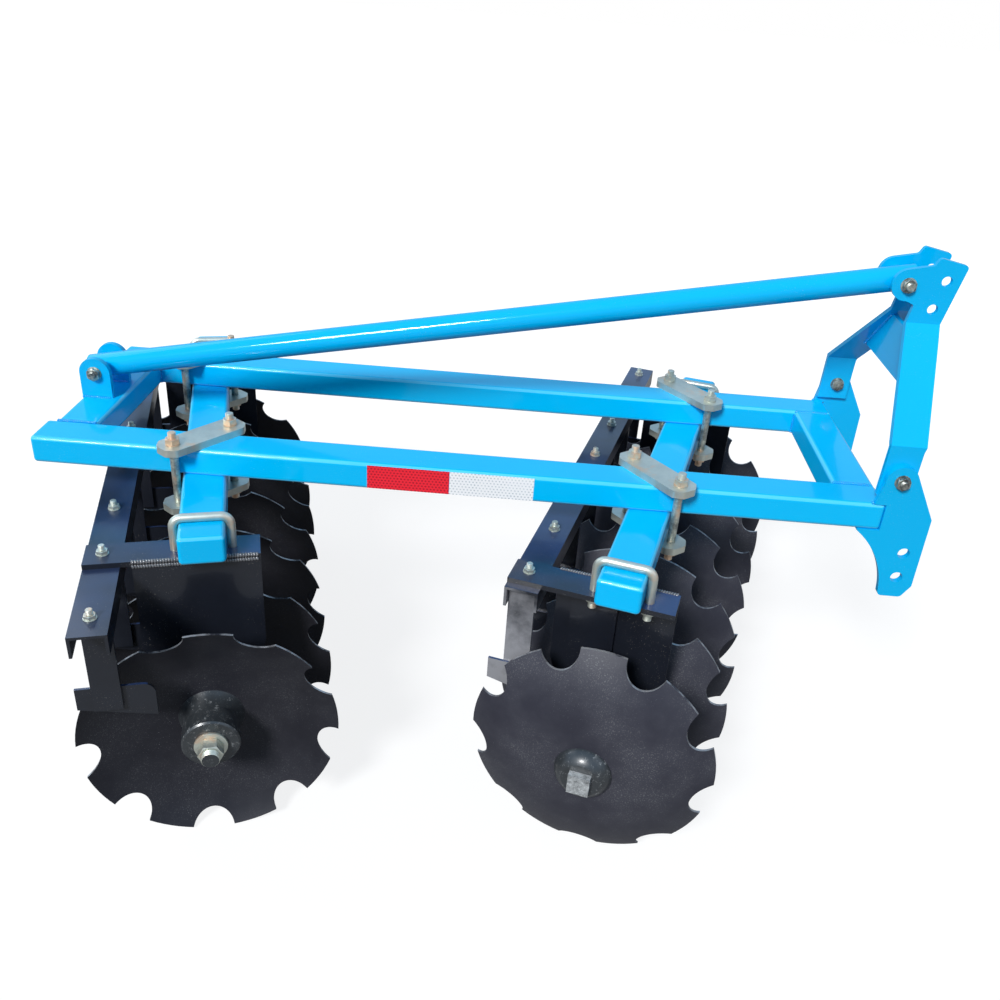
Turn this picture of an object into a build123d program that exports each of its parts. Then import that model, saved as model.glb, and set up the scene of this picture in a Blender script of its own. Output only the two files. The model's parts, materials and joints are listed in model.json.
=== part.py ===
import os
from math import cos, hypot, radians, sin

from build123d import *

# Offset disc harrow for a three-point linkage, in millimetres.
# +X is forward, towards the tractor, +Y is the machine's left, +Z is up.
# The origin is on the ground, under the middle of the machine's box.
# Heights are from the ground, stations along X from the rails' rear ends.

# Frame tubes: one flat rectangular section for rails, cross tubes and gang beams
tube_width = 80.0
tube_height = 54.0
tube_wall = 5.0
tube_corner = 8.0
frame_width = 495.0
rail_length = 1605.0
cross_inset = 18.0
cap_thickness = 10.0
cap_round = 7.0

# Discs
disc_radius = 230.0
disc_dish = 58.0
disc_thickness = 5.0
disc_count = 7
disc_pitch = 176.0
notch_count = 9
notch_radius = 39.0
notch_centre_radius = 236.0
seat_radius = 58.0
axle_drop = 434.0

# Gang axles
axle_square = 32.0
head_square = 40.0
head_length = 14.0
stud_radius = 15.0
stud_length = 42.0
nut_across_flats = 40.0
nut_height = 24.0
washer_radius = 30.0
washer_thickness = 6.0
dome_radius = 54.0
dome_height = 24.0
dome_flat_radius = 35.0
end_spool_length = 78.0
spool_flange_radius = 55.0
spool_waist_radius = 34.0
spool_flange_thickness = 8.0
end_spool_foot_radius = 60.0
end_spool_waist_radius = 46.0
end_spool_collar_radius = 52.0
end_spool_waist = 34.0
end_spool_edge = 3.0
journal_radius = 29.0

# Gang beams and what hangs below them
beam_end = 58.0
bar_width = 65.0
bar_thickness = 10.0
bar_rear = 200.0
bar_front = 97.0
hanger_thickness = 10.0
hanger_rear = 120.0
hanger_front = 97.0
hanger_shoulder_drop = 180.0
doubler_thickness = 8.0
doubler_rear = 90.0
doubler_front = -6.0
doubler_clear = 8.0
hanger_foot_radius = 62.0
hanger_hole_radius = 36.0
housing_radius = 54.0
housing_length = 54.0
axle_set_back = 10.0
scraper_beam_width = 61.0
scraper_beam_depth = 40.0
scraper_beam_wall = 5.0
scraper_beam_end = 48.0

# Scrapers
arm_width = 48.0
arm_thickness = 8.0
arm_foot = 24.0
arm_set_back = 1.0
blade_width = 130.0
blade_height = 70.0
blade_rear_height = 44.0
blade_thickness = 5.0
blade_drop = 170.0
blade_ahead = 12.0
blade_corner = 20.0
blade_clear = 6.0
scraper_bolt_clear = 45.0
bolt_radius = 6.0

# Clamps where a beam crosses a rail
clamp_rod_radius = 8.0
clamp_gap = 3.0
clamp_plate_thickness = 14.0
clamp_plate_width = 58.0
clamp_plate_margin = 26.0
clamp_plate_corner = 15.0
clamp_plate_round = 9.0
clamp_nut_flats = 24.0
clamp_nut_height = 13.0
clamp_stud = 12.0

# U-bolts round the beam ends
u_rod_radius = 8.0
u_gap = 1.0
u_corner = 16.0
u_nut_flats = 24.0
u_nut_height = 13.0
u_stud = 14.0

# Three-point hitch
hitch_plate_thickness = 12.0
plate_lobe_radius = 30.0
plate_corner = 9.0
link_hole_radius = 11.2
link_hole_drop = 100.0
hole_pitch = 54.0
link_hole_ahead = 58.0
mast_height = 470.0
top_hole_radius = 9.7
head_reach = 108.0
top_hole_ahead = 75.0
strap_thickness = 10.0
head_half_gap = 38.5
foot_top = 112.0
head_bottom = 284.0
strap_bolt_radius = 8.0
strap_bolt_ahead = 16.0
strap_bolt_height = 50.0
head_bolt_ahead = 7.0
head_bolt_height = 358.0
head_lobe_radius = 30.0
head_corner = 7.0
cross_plate_thickness = 10.0
cross_plate_drop = 110.0
cross_plate_top_drop = 12.0

# Brace from the rear cross tube to the mast head
brace_radius = 24.0
brace_wall = 4.0
brace_end = 26.0
bush_radius = 16.0
brace_bolt_radius = 8.0
clevis_thickness = 12.0
clevis_bolt_station = 49.0
clevis_bolt_height = 52.0
clevis_crown = 31.0

# Running gaps
fit_gap = 0.3
bearing_gap = 0.5

# Gangs: the front one is placed from the rails' front ends, the rear one from their rear ends
front_gang_set_back = 369.0
rear_gang_station = 256.0

# Gang table: station on the centre line, skew in degrees, offset to the left,
# the side that the open faces of its discs look to, and how far the gang stands turned
gang_table = [
    ("front", rail_length - front_gang_set_back, 15.0, -13.0, "left", 0.0),
    ("rear", rear_gang_station, -16.0, 5.0, "right", -3.0),
]
gangs = {}
gang_turns = {}
for name, station, skew, offset, open_side, turn in gang_table:
    gangs[name] = (station, skew, offset, 1 if open_side == "right" else -1)
    gang_turns[name] = turn

# Heights that follow from the sizes above
axle_height = disc_radius
rail_top = axle_height + axle_drop
rail_bottom = rail_top - tube_height
beam_bottom = rail_bottom - tube_height
bar_bottom = beam_bottom - bar_thickness
rail_middle = (frame_width - tube_width) / 2

# Places along an axle, counted from its middle towards the discs' open faces
hub_stations = [disc_pitch * (i - (disc_count - 1) / 2) - disc_dish / 2 for i in range(disc_count)]
rim_faces = [hub + disc_dish + disc_thickness for hub in hub_stations]
scraper_stations = [face + scraper_bolt_clear for face in rim_faces]
bar_stations = [scraper_stations[0], scraper_stations[-2]]
beam_middle = (bar_stations[0] + bar_stations[1]) / 2
beam_length = bar_stations[1] - bar_stations[0] + 2 * beam_end
channel_middle = (scraper_stations[0] + scraper_stations[-1]) / 2
channel_length = scraper_stations[-1] - scraper_stations[0] + 2 * scraper_beam_end

# Outermost corners in plan: along each gang, and square to it
corners = [(rail_length + head_reach, 0.0), (0.0, 0.0)]
for station, skew, offset, facing in gangs.values():
    angle = radians(skew)
    for along, ahead in (
        (rim_faces[0], -axle_set_back - disc_radius),
        (rim_faces[-1], -axle_set_back - disc_radius),
        (rim_faces[0], disc_radius - axle_set_back),
        (rim_faces[-1], disc_radius - axle_set_back),
        (channel_middle - channel_length / 2, -bar_rear),
        (channel_middle + channel_length / 2, -bar_rear),
    ):
        left = offset - facing * along
        corners.append(
            (
                station + left * sin(angle) + ahead * cos(angle),
                left * cos(angle) - ahead * sin(angle),
            )
        )
middle_x = (min(x for x, y in corners) + max(x for x, y in corners)) / 2
middle_y = (min(y for x, y in corners) + max(y for x, y in corners)) / 2


def spot(station, left, height):
    """A point from a station along the rails, a distance to the left and a height."""
    return Vector(station - middle_x, left - middle_y, height)


def gang_plane(name, right=0.0, ahead=0.0, height=0.0):
    """A plane square to a gang: local X ahead, local Y up, its normal to the right."""
    station, skew, offset, facing = gangs[name]
    angle = radians(skew)
    along = offset - right
    return Plane(
        origin=spot(
            station + along * sin(angle) + ahead * cos(angle),
            along * cos(angle) - ahead * sin(angle),
            height,
        ),
        x_dir=(cos(angle), -sin(angle), 0),
        z_dir=(-sin(angle), -cos(angle), 0),
    )


def level_plane(name, height, right=0.0, ahead=0.0):
    """A level plane over a gang: local X ahead, local Y to the left along the gang."""
    station, skew, offset, facing = gangs[name]
    upright = gang_plane(name, right, ahead, height)
    return Plane(origin=upright.origin, x_dir=upright.x_dir, z_dir=(0, 0, 1))


def spin_plane(name, along=0.0):
    """A plane on a gang's axle: its normal runs towards the discs' open faces."""
    station, skew, offset, facing = gangs[name]
    upright = gang_plane(name, facing * along, -axle_set_back, axle_height)
    normal = upright.z_dir * facing
    turn = radians(gang_turns[name])
    turned_x = upright.x_dir * cos(turn) + normal.cross(upright.x_dir) * sin(turn)
    return Plane(origin=upright.origin, x_dir=turned_x, z_dir=normal)


def side_plane(left):
    """An upright plane along the machine: local X a station, local Y a height."""
    return Plane(origin=spot(0, left, 0), x_dir=(1, 0, 0), z_dir=(0, -1, 0))


def tube_section(width, height):
    """A rectangular tube's wall, round its middle."""
    RectangleRounded(width, height, tube_corner)
    RectangleRounded(
        width - 2 * tube_wall,
        height - 2 * tube_wall,
        tube_corner - tube_wall + 1,
        mode=Mode.SUBTRACT,
    )


def save(builder, name):
    """Label a finished piece and write it as its own file."""
    builder.part.label = name
    export_step(builder.part, f"parts/{name}.step")


os.makedirs("parts", exist_ok=True)
sides = {"right": -1, "left": 1}

# Rails, open tubes that run the whole length
for side_name, side in sides.items():
    rail_start = Plane(
        origin=spot(cap_thickness, side * rail_middle, rail_top - tube_height / 2),
        x_dir=(0, 1, 0),
        z_dir=(1, 0, 0),
    )
    with BuildPart() as rail:
        with BuildSketch(rail_start):
            tube_section(tube_width, tube_height)
        extrude(amount=rail_length - 2 * cap_thickness)
    save(rail, f"rail_{side_name}")

# Cross tubes between the rails
cross_span = frame_width - 2 * tube_width
cross_stations = {
    "rear": cross_inset + tube_width / 2,
    "front": rail_length - tube_width / 2,
}
for end_name, station in cross_stations.items():
    cross_start = Plane(
        origin=spot(station, -cross_span / 2, rail_top - tube_height / 2),
        x_dir=(1, 0, 0),
        z_dir=(0, 1, 0),
    )
    with BuildPart() as cross_tube:
        with BuildSketch(cross_start):
            tube_section(tube_width, tube_height)
        extrude(amount=cross_span)
    save(cross_tube, f"cross_tube_{end_name}")

# Gang beams under the rails, skewed in plan
beam_clear_length = beam_length - 2 * cap_thickness
for name, (station, skew, offset, facing) in gangs.items():
    beam_right = facing * beam_middle - beam_clear_length / 2
    beam_start = gang_plane(name, beam_right, 0, rail_bottom - tube_height / 2)
    with BuildPart() as gang_beam:
        with BuildSketch(beam_start):
            tube_section(tube_width, tube_height)
        extrude(amount=beam_clear_length)
    save(gang_beam, f"gang_beam_{name}")

# Welded caps on the rail and beam ends
with BuildPart() as rail_caps:
    for side in sides.values():
        for station in (0.0, rail_length - cap_thickness):
            outward = -1 if station == 0.0 else 1
            seat = station if outward > 0 else cap_thickness
            cap_plane = Plane(
                origin=spot(seat, side * rail_middle, rail_top - tube_height / 2),
                x_dir=(0, 1, 0),
                z_dir=(outward, 0, 0),
            )
            with BuildSketch(cap_plane):
                RectangleRounded(tube_width, tube_height, tube_corner)
            extrude(amount=cap_thickness)
            outer_face = rail_caps.faces(Select.LAST).sort_by(
                Axis(cap_plane.origin, cap_plane.z_dir)
            )[-1]
            fillet(outer_face.edges(), cap_round)
save(rail_caps, "rail_caps")
with BuildPart() as beam_caps:
    for name, (station, skew, offset, facing) in gangs.items():
        beam_right = facing * beam_middle - beam_length / 2
        for right, outward in (
            (beam_right + cap_thickness, -1),
            (beam_right + beam_length - cap_thickness, 1),
        ):
            seat = gang_plane(name, right, 0, rail_bottom - tube_height / 2)
            cap_plane = Plane(origin=seat.origin, x_dir=seat.x_dir, z_dir=seat.z_dir * outward)
            with BuildSketch(cap_plane):
                RectangleRounded(tube_width, tube_height, tube_corner)
            extrude(amount=cap_thickness)
            outer_face = beam_caps.faces(Select.LAST).sort_by(
                Axis(cap_plane.origin, cap_plane.z_dir)
            )[-1]
            fillet(outer_face.edges(), cap_round)
save(beam_caps, "beam_caps")

# Hitch plates, slotted over the rails' front ends
plate_inner = frame_width / 2 - hitch_plate_thickness
lower_hole_x = rail_length + link_hole_ahead
lobe_x = rail_length + strap_bolt_ahead
for side_name, side in sides.items():
    with BuildPart() as hitch_plate:
        with BuildSketch(side_plane(side * frame_width / 2)) as plate_face:
            with BuildLine():
                Polyline(
                    (rail_length + 31, rail_top - 198),
                    (rail_length + 76, rail_top - 198),
                    (rail_length + 92, rail_top - 172),
                    (rail_length + 90, rail_top - 24),
                    (lobe_x + 26, rail_top + strap_bolt_height + 15),
                    (lobe_x - 26, rail_top + strap_bolt_height + 15),
                    (rail_length - 22, rail_top),
                    (rail_length - 42, rail_top - tube_height - 3),
                )
                ThreePointArc(
                    (rail_length - 42, rail_top - tube_height - 3),
                    (rail_length + 12, rail_top - 122),
                    (rail_length + 31, rail_top - 198),
                )
            make_face()
            low_corners = plate_face.vertices().sort_by(Axis.Y)[:3]
            fillet(low_corners, plate_corner)
            with Locations((lobe_x, rail_top + strap_bolt_height)):
                Circle(plate_lobe_radius)
            with Locations((rail_length - tube_width / 2, rail_top - tube_height / 2)):
                Rectangle(tube_width, tube_height, mode=Mode.SUBTRACT)
            with Locations(
                (lower_hole_x, rail_top - link_hole_drop),
                (lower_hole_x, rail_top - link_hole_drop - hole_pitch),
            ):
                Circle(link_hole_radius, mode=Mode.SUBTRACT)
            with Locations((lobe_x, rail_top + strap_bolt_height)):
                Circle(strap_bolt_radius + fit_gap, mode=Mode.SUBTRACT)
        extrude(amount=side * hitch_plate_thickness)
    save(hitch_plate, f"hitch_plate_{side_name}")


def strip_outline(points, thickness):
    """Outline of a bent strip: the given line on one face, the thickness to its right."""
    far_side = []
    for i, point in enumerate(points):
        before = points[max(i - 1, 0)]
        after = points[min(i + 1, len(points) - 1)]
        directions = []
        for start, end in ((before, point), (point, after)):
            run = hypot(end[0] - start[0], end[1] - start[1])
            if run > 0:
                directions.append(((end[0] - start[0]) / run, (end[1] - start[1]) / run))
        mean_x = sum(d[0] for d in directions) / len(directions)
        mean_y = sum(d[1] for d in directions) / len(directions)
        length = hypot(mean_x, mean_y)
        reach = thickness / length
        far_side.append((point[0] + mean_y / length * reach, point[1] - mean_x / length * reach))
    return points + far_side[::-1]


# Mast straps: a foot on the hitch plate, a slanted run and the wide head, in one piece
head_bolt_x = rail_length + head_bolt_ahead
foot_bottom = rail_top + 16
top_hole_height = rail_top - link_hole_drop + mast_height
head_top = top_hole_height + 42
head_front = rail_length + head_reach
head_low = rail_top + head_bottom
head_bolt_z = rail_top + head_bolt_height
for side_name, side in sides.items():
    front_view = Plane(origin=spot(rail_length - 60, 0, 0), x_dir=(0, side, 0), z_dir=(1, 0, 0))
    if side < 0:
        front_view = Plane(origin=spot(rail_length + 160, 0, 0), x_dir=(0, -1, 0), z_dir=(-1, 0, 0))
    with BuildPart() as strap:
        with BuildSketch(front_view):
            with BuildLine():
                Polyline(
                    *strip_outline(
                        [
                            (head_half_gap, head_top),
                            (head_half_gap, head_low),
                            (plate_inner - strap_thickness, rail_top + foot_top),
                            (plate_inner - strap_thickness, foot_bottom),
                        ][::-1],
                        strap_thickness,
                    ),
                    close=True,
                )
            make_face()
        extrude(amount=220)
        with BuildSketch(side_plane(300)) as side_view:
            with BuildLine():
                Polyline(
                    (rail_length - 20, foot_bottom),
                    (rail_length + 43, foot_bottom),
                    (rail_length + 45, rail_top + foot_top - 6),
                    (head_front - 29, head_low - 26),
                    (head_front, head_top - 11),
                    (head_front - 54, head_top),
                    (head_front - 62, head_top - 15),
                    (head_bolt_x - 8, head_bolt_z + 29),
                    (head_bolt_x - 20, head_bolt_z - 22),
                    (head_bolt_x + 20, head_bolt_z - 36),
                    (head_bolt_x + 14, head_low + 4),
                    (rail_length - 18, rail_top + foot_top + 4),
                    close=True,
                )
            make_face()
            fillet(side_view.vertices().sort_by(Axis.Y)[2:], head_corner)
            with Locations((head_bolt_x, head_bolt_z)):
                Circle(head_lobe_radius)
            with Locations(
                (rail_length + top_hole_ahead, top_hole_height),
                (rail_length + top_hole_ahead - 12, top_hole_height - hole_pitch),
            ):
                Circle(top_hole_radius, mode=Mode.SUBTRACT)
            with Locations((head_bolt_x, head_bolt_z)):
                Circle(brace_bolt_radius + fit_gap, mode=Mode.SUBTRACT)
            with Locations((rail_length + strap_bolt_ahead, rail_top + strap_bolt_height)):
                Circle(strap_bolt_radius + fit_gap, mode=Mode.SUBTRACT)
        extrude(amount=600, mode=Mode.INTERSECT)
    save(strap, f"mast_strap_{side_name}")

# Cross plate between the straps' slanted runs
slant = (plate_inner - strap_thickness - head_half_gap) / (head_bottom - foot_top)
plate_low = head_low - cross_plate_drop
plate_high = head_low - cross_plate_top_drop
low_half = head_half_gap + cross_plate_drop * slant
high_half = head_half_gap + cross_plate_top_drop * slant
cross_plate_plane = Plane(
    origin=spot(rail_length + 30, 0, 0), x_dir=(0, 1, 0), z_dir=(1, 0, 0)
)
with BuildPart() as cross_plate:
    with BuildSketch(cross_plate_plane):
        with BuildLine():
            Polyline(
                (-low_half, plate_low),
                (low_half, plate_low),
                (high_half, plate_high),
                (-high_half, plate_high),
                close=True,
            )
        make_face()
    extrude(amount=cross_plate_thickness)
save(cross_plate, "mast_cross_plate")

# Brace tube with a bush at each end
clevis_point = spot(clevis_bolt_station, 0, rail_top + clevis_bolt_height)
head_point = spot(head_bolt_x, 0, head_bolt_z)
brace_run = head_point - clevis_point
brace_direction = brace_run.normalized()
brace_start = clevis_point - brace_direction * brace_end
bush_half = head_half_gap - fit_gap
with BuildPart() as brace:
    with BuildSketch(Plane(origin=brace_start, x_dir=(0, 1, 0), z_dir=brace_direction)):
        Circle(brace_radius)
        Circle(brace_radius - brace_wall, mode=Mode.SUBTRACT)
    extrude(amount=brace_run.length + 2 * brace_end)
    for point in (clevis_point, head_point):
        bush_plane = Plane(
            origin=point + Vector(0, -bush_half, 0), x_dir=(1, 0, 0), z_dir=(0, 1, 0)
        )
        with BuildSketch(bush_plane):
            Circle(bush_radius)
        extrude(amount=2 * bush_half)
        with BuildSketch(bush_plane):
            Circle(brace_bolt_radius + fit_gap)
        extrude(amount=2 * bush_half, mode=Mode.SUBTRACT)
save(brace, "brace_tube")

# Clevis ears on the rear cross tube
with BuildPart() as clevis:
    for side in sides.values():
        ear_left = side * (head_half_gap + clevis_thickness / 2)
        with BuildSketch(side_plane(ear_left + clevis_thickness / 2)):
            with Locations((clevis_bolt_station, rail_top + clevis_bolt_height)):
                Circle(clevis_crown)
            with Locations(
                (clevis_bolt_station, rail_top + clevis_bolt_height / 2)
            ):
                Rectangle(2 * clevis_crown, clevis_bolt_height)
            with Locations((clevis_bolt_station, rail_top + clevis_bolt_height)):
                Circle(brace_bolt_radius + fit_gap, mode=Mode.SUBTRACT)
        extrude(amount=clevis_thickness)
save(clevis, "brace_clevis")


# Cross bolts of the brace and of the strap feet: station, height, right end, left end, radius
clevis_outer = head_half_gap + clevis_thickness
head_outer = head_half_gap + strap_thickness
brace_bolt_table = [
    (clevis_bolt_station, clevis_bolt_height, -clevis_outer, clevis_outer, brace_bolt_radius),
    (head_bolt_x, head_bolt_height, -head_outer, head_outer, brace_bolt_radius),
]
foot_inner = plate_inner - strap_thickness
foot_outer = frame_width / 2
foot_bolt_x = rail_length + strap_bolt_ahead
strap_bolt_table = [
    (foot_bolt_x, strap_bolt_height, -foot_outer, -foot_inner, strap_bolt_radius),
    (foot_bolt_x, strap_bolt_height, foot_inner, foot_outer, strap_bolt_radius),
]
for bolts_name, bolt_table in (("brace_bolts", brace_bolt_table), ("strap_bolts", strap_bolt_table)):
    with BuildPart() as cross_bolts:
        for station, height, right_end, left_end, radius in bolt_table:
            head_thickness = radius * 1.3
            for start, length in (
                (right_end - head_thickness, head_thickness),
                (left_end, head_thickness),
            ):
                head_plane = Plane(
                    origin=spot(station, start, rail_top + height), x_dir=(1, 0, 0), z_dir=(0, 1, 0)
                )
                with BuildSketch(head_plane):
                    RegularPolygon(radius * 1.5, 6, major_radius=False)
                extrude(amount=length)
            shank_plane = Plane(
                origin=spot(station, right_end, rail_top + height), x_dir=(1, 0, 0), z_dir=(0, 1, 0)
            )
            with BuildSketch(shank_plane):
                Circle(radius)
            extrude(amount=left_end - right_end)
    save(cross_bolts, bolts_name)


def rod_point(name, left, ahead):
    """Station and distance to the left of a clamp rod beside a rail and a beam."""
    station, skew, offset, facing = gangs[name]
    angle = radians(skew)
    along = (left + ahead * sin(angle)) / cos(angle)
    return station + along * sin(angle) + ahead * cos(angle), left


# Clamps: two long rods on a diagonal, a thick plate above the rail, one below the beam
rod_side = tube_width / 2 + clamp_rod_radius + clamp_gap
clamps = []
for name, (station, skew, offset, facing) in gangs.items():
    for side in sides.values():
        right_ahead = -facing * rod_side
        clamps.append(
            (
                rod_point(name, side * rail_middle - rod_side, right_ahead),
                rod_point(name, side * rail_middle + rod_side, -right_ahead),
            )
        )
with BuildPart() as upper_plates:
    for (x1, y1), (x2, y2) in clamps:
        span = hypot(x2 - x1, y2 - y1)
        middle = spot((x1 + x2) / 2, (y1 + y2) / 2, rail_top)
        with BuildSketch(Plane(origin=middle, x_dir=(x2 - x1, y2 - y1, 0), z_dir=(0, 0, 1))):
            outline = Rectangle(span + 2 * clamp_plate_margin, clamp_plate_width)
            pointed = chamfer(outline.vertices(), clamp_plate_corner)
            fillet(pointed.vertices(), clamp_plate_round)
            with Locations((-span / 2, 0), (span / 2, 0)):
                Circle(clamp_rod_radius + fit_gap, mode=Mode.SUBTRACT)
        extrude(amount=clamp_plate_thickness)
save(upper_plates, "clamp_plates_upper")
with BuildPart() as lower_plates:
    for (x1, y1), (x2, y2) in clamps:
        span = hypot(x2 - x1, y2 - y1)
        middle = spot((x1 + x2) / 2, (y1 + y2) / 2, beam_bottom - clamp_plate_thickness)
        with BuildSketch(Plane(origin=middle, x_dir=(x2 - x1, y2 - y1, 0), z_dir=(0, 0, 1))):
            outline = Rectangle(span + 2 * clamp_plate_margin, clamp_plate_width)
            pointed = chamfer(outline.vertices(), clamp_plate_corner)
            fillet(pointed.vertices(), clamp_plate_round)
            with Locations((-span / 2, 0), (span / 2, 0)):
                Circle(clamp_rod_radius + fit_gap, mode=Mode.SUBTRACT)
        extrude(amount=clamp_plate_thickness)
save(lower_plates, "clamp_plates_lower")
rod_top = rail_top + clamp_plate_thickness
rod_foot = beam_bottom - clamp_plate_thickness
with BuildPart() as clamp_rods:
    for ends in clamps:
        for x, y in ends:
            with BuildSketch(Plane(origin=spot(x, y, rod_foot - clamp_nut_height - clamp_stud))):
                Circle(clamp_rod_radius)
            extrude(amount=rod_top - rod_foot + 2 * (clamp_nut_height + clamp_stud))
            for height in (rod_top, rod_foot - clamp_nut_height):
                with BuildSketch(Plane(origin=spot(x, y, height))):
                    RegularPolygon(clamp_nut_flats / 2, 6, major_radius=False)
                extrude(amount=clamp_nut_height)
save(clamp_rods, "clamp_rods")

# U-bolts over the beam ends, hanger bars below, bearing hangers and housings
bars = [(name, gangs[name][3] * along) for name in gangs for along in bar_stations]
# The front gang's U-bolts stand off the bars' middles, clear of the doubler plates
u_shifts = {"front": doubler_thickness, "rear": 0.0}
u_places = [(name, right, -gangs[name][3] * u_shifts[name]) for name, right in bars]
u_leg = tube_width / 2 + u_gap + u_rod_radius
u_crown = rail_bottom + u_rod_radius + fit_gap
u_foot = bar_bottom - u_nut_height - u_stud
with BuildPart() as u_bolts:
    for name, right, shift in u_places:
        with BuildLine(gang_plane(name, right + shift, 0, 0)) as u_path:
            FilletPolyline(
                (-u_leg, u_foot),
                (-u_leg, u_crown),
                (u_leg, u_crown),
                (u_leg, u_foot),
                radius=u_corner,
            )
        with BuildSketch(Plane(origin=u_path.line @ 0, z_dir=u_path.line % 0)):
            Circle(u_rod_radius)
        sweep(path=u_path.line)
        for ahead in (-u_leg, u_leg):
            seat = level_plane(name, bar_bottom - u_nut_height, right + shift, ahead)
            with BuildSketch(seat):
                RegularPolygon(u_nut_flats / 2, 6, major_radius=False)
            extrude(amount=u_nut_height)
save(u_bolts, "u_bolts")

with BuildPart() as hanger_bars:
    for name, right, shift in u_places:
        with BuildSketch(level_plane(name, bar_bottom, right)):
            with Locations(((bar_front - bar_rear) / 2, 0)):
                Rectangle(bar_front + bar_rear, bar_width)
            with Locations((-u_leg, -shift), (u_leg, -shift)):
                Circle(u_rod_radius + fit_gap, mode=Mode.SUBTRACT)
            with Locations((scraper_beam_width / 2 - bar_rear, 0)):
                Circle(bolt_radius + fit_gap, mode=Mode.SUBTRACT)
        extrude(amount=bar_thickness)
save(hanger_bars, "hanger_bars")

# Hanger plates hang on the bars' edges that the discs' open faces look to
plate_edge = bar_width / 2
hanger_start = plate_edge - hanger_thickness
doubler_start = hanger_start - doubler_thickness
hanger_shoulder = bar_bottom - hanger_shoulder_drop


def right_start(name, along, length):
    """Where a stretch along the axle, counted towards the open faces, starts when run rightwards."""
    facing = gangs[name][3]
    return along if facing > 0 else -along - length


with BuildPart() as hangers:
    for name in gangs:
        for along in bar_stations:
            start = right_start(name, along + hanger_start, hanger_thickness)
            with BuildSketch(gang_plane(name, start, 0, 0)):
                with BuildLine():
                    Polyline(
                        (-hanger_rear, bar_bottom),
                        (-hanger_rear, hanger_shoulder),
                        (-axle_set_back - hanger_foot_radius, axle_height),
                        (-axle_set_back + hanger_foot_radius, axle_height),
                        (hanger_front, hanger_shoulder),
                        (hanger_front, bar_bottom),
                        close=True,
                    )
                make_face()
                with Locations((-axle_set_back, axle_height)):
                    Circle(hanger_foot_radius)
                    Circle(hanger_hole_radius, mode=Mode.SUBTRACT)
            extrude(amount=hanger_thickness)
    for along in bar_stations:
        start = right_start("front", along + doubler_start, doubler_thickness)
        doubler_bottom = axle_height + housing_radius + doubler_clear
        with BuildSketch(gang_plane("front", start, 0, 0)):
            with BuildLine():
                Polyline(
                    (-doubler_rear, bar_bottom),
                    (-doubler_rear, doubler_bottom),
                    (doubler_front, doubler_bottom),
                    (doubler_front, bar_bottom),
                    close=True,
                )
            make_face()
        extrude(amount=doubler_thickness)
save(hangers, "bearing_hangers")

with BuildPart() as housings:
    for name in gangs:
        for along in bar_stations:
            start = right_start(name, along + hanger_start - housing_length, housing_length)
            with BuildSketch(gang_plane(name, start, -axle_set_back, axle_height)):
                Circle(housing_radius)
                Circle(journal_radius + bearing_gap, mode=Mode.SUBTRACT)
            extrude(amount=housing_length)
save(housings, "bearing_housings")

# Scraper beams: an inverted channel under the hanger bars, behind the discs
scraper_ahead = scraper_beam_width / 2 - bar_rear
for name, (station, skew, offset, facing) in gangs.items():
    with BuildPart() as scraper_beam:
        channel_right = facing * channel_middle - channel_length / 2
        channel_plane = gang_plane(name, channel_right, scraper_ahead, bar_bottom)
        with BuildSketch(channel_plane):
            with Locations((0, -scraper_beam_depth / 2)):
                Rectangle(scraper_beam_width, scraper_beam_depth)
            with Locations((0, -scraper_beam_wall - scraper_beam_depth / 2)):
                Rectangle(
                    scraper_beam_width - 2 * scraper_beam_wall,
                    scraper_beam_depth,
                    mode=Mode.SUBTRACT,
                )
        extrude(amount=channel_length)
        for along in scraper_stations:
            with BuildSketch(level_plane(name, bar_bottom, facing * along, scraper_ahead)):
                Circle(bolt_radius + fit_gap)
            extrude(amount=-scraper_beam_wall, mode=Mode.SUBTRACT)
    save(scraper_beam, f"scraper_beam_{name}")

# One scraper, made at its bolt: local X ahead, Y to the left, Z up, open faces to the right
blade_face = scraper_bolt_clear - blade_clear - blade_thickness
with BuildPart() as scraper_right:
    arm_rear = -arm_width / 2 - arm_set_back
    with BuildSketch(Plane(origin=(arm_rear, 0, 0), x_dir=(0, 1, 0), z_dir=(1, 0, 0))):
        with BuildLine():
            Polyline(
                *strip_outline(
                    [
                        (-arm_foot, -scraper_beam_wall),
                        (blade_face, -scraper_beam_wall),
                        (blade_face, -blade_drop - blade_rear_height),
                    ],
                    arm_thickness,
                ),
                close=True,
            )
        make_face()
    extrude(amount=arm_width)
    with BuildSketch():
        Circle(bolt_radius + fit_gap)
    extrude(amount=-arm_thickness * 3, mode=Mode.SUBTRACT)
    blade_plane = Plane(
        origin=(blade_ahead, blade_face, -blade_drop),
        x_dir=(1, 0, 0),
        z_dir=(0, 1, 0),
    )
    # Local Y runs down here; the blade deepens to the front
    with BuildSketch(blade_plane):
        with BuildLine():
            Polyline(
                (-blade_width / 2, 0),
                (blade_width / 2, 0),
                (blade_width / 2, blade_height),
                (-blade_width / 2, blade_rear_height),
                close=True,
            )
        blade_outline = make_face()
        upper_corners = blade_outline.vertices().sort_by(Axis.Y)[:2]
        fillet(upper_corners.sort_by(Axis.X)[-1:], blade_corner)
    extrude(amount=blade_thickness)
with BuildPart() as scraper_left:
    mirror(scraper_right.part, about=Plane.XZ)
scraper_blanks = {1: scraper_right, -1: scraper_left}
for name, (station, skew, offset, facing) in gangs.items():
    with BuildPart() as scrapers:
        for along in scraper_stations:
            seat = level_plane(name, bar_bottom, facing * along, scraper_ahead)
            with Locations(seat.location):
                add(scraper_blanks[facing].part)
    save(scrapers, f"scrapers_{name}")

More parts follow.
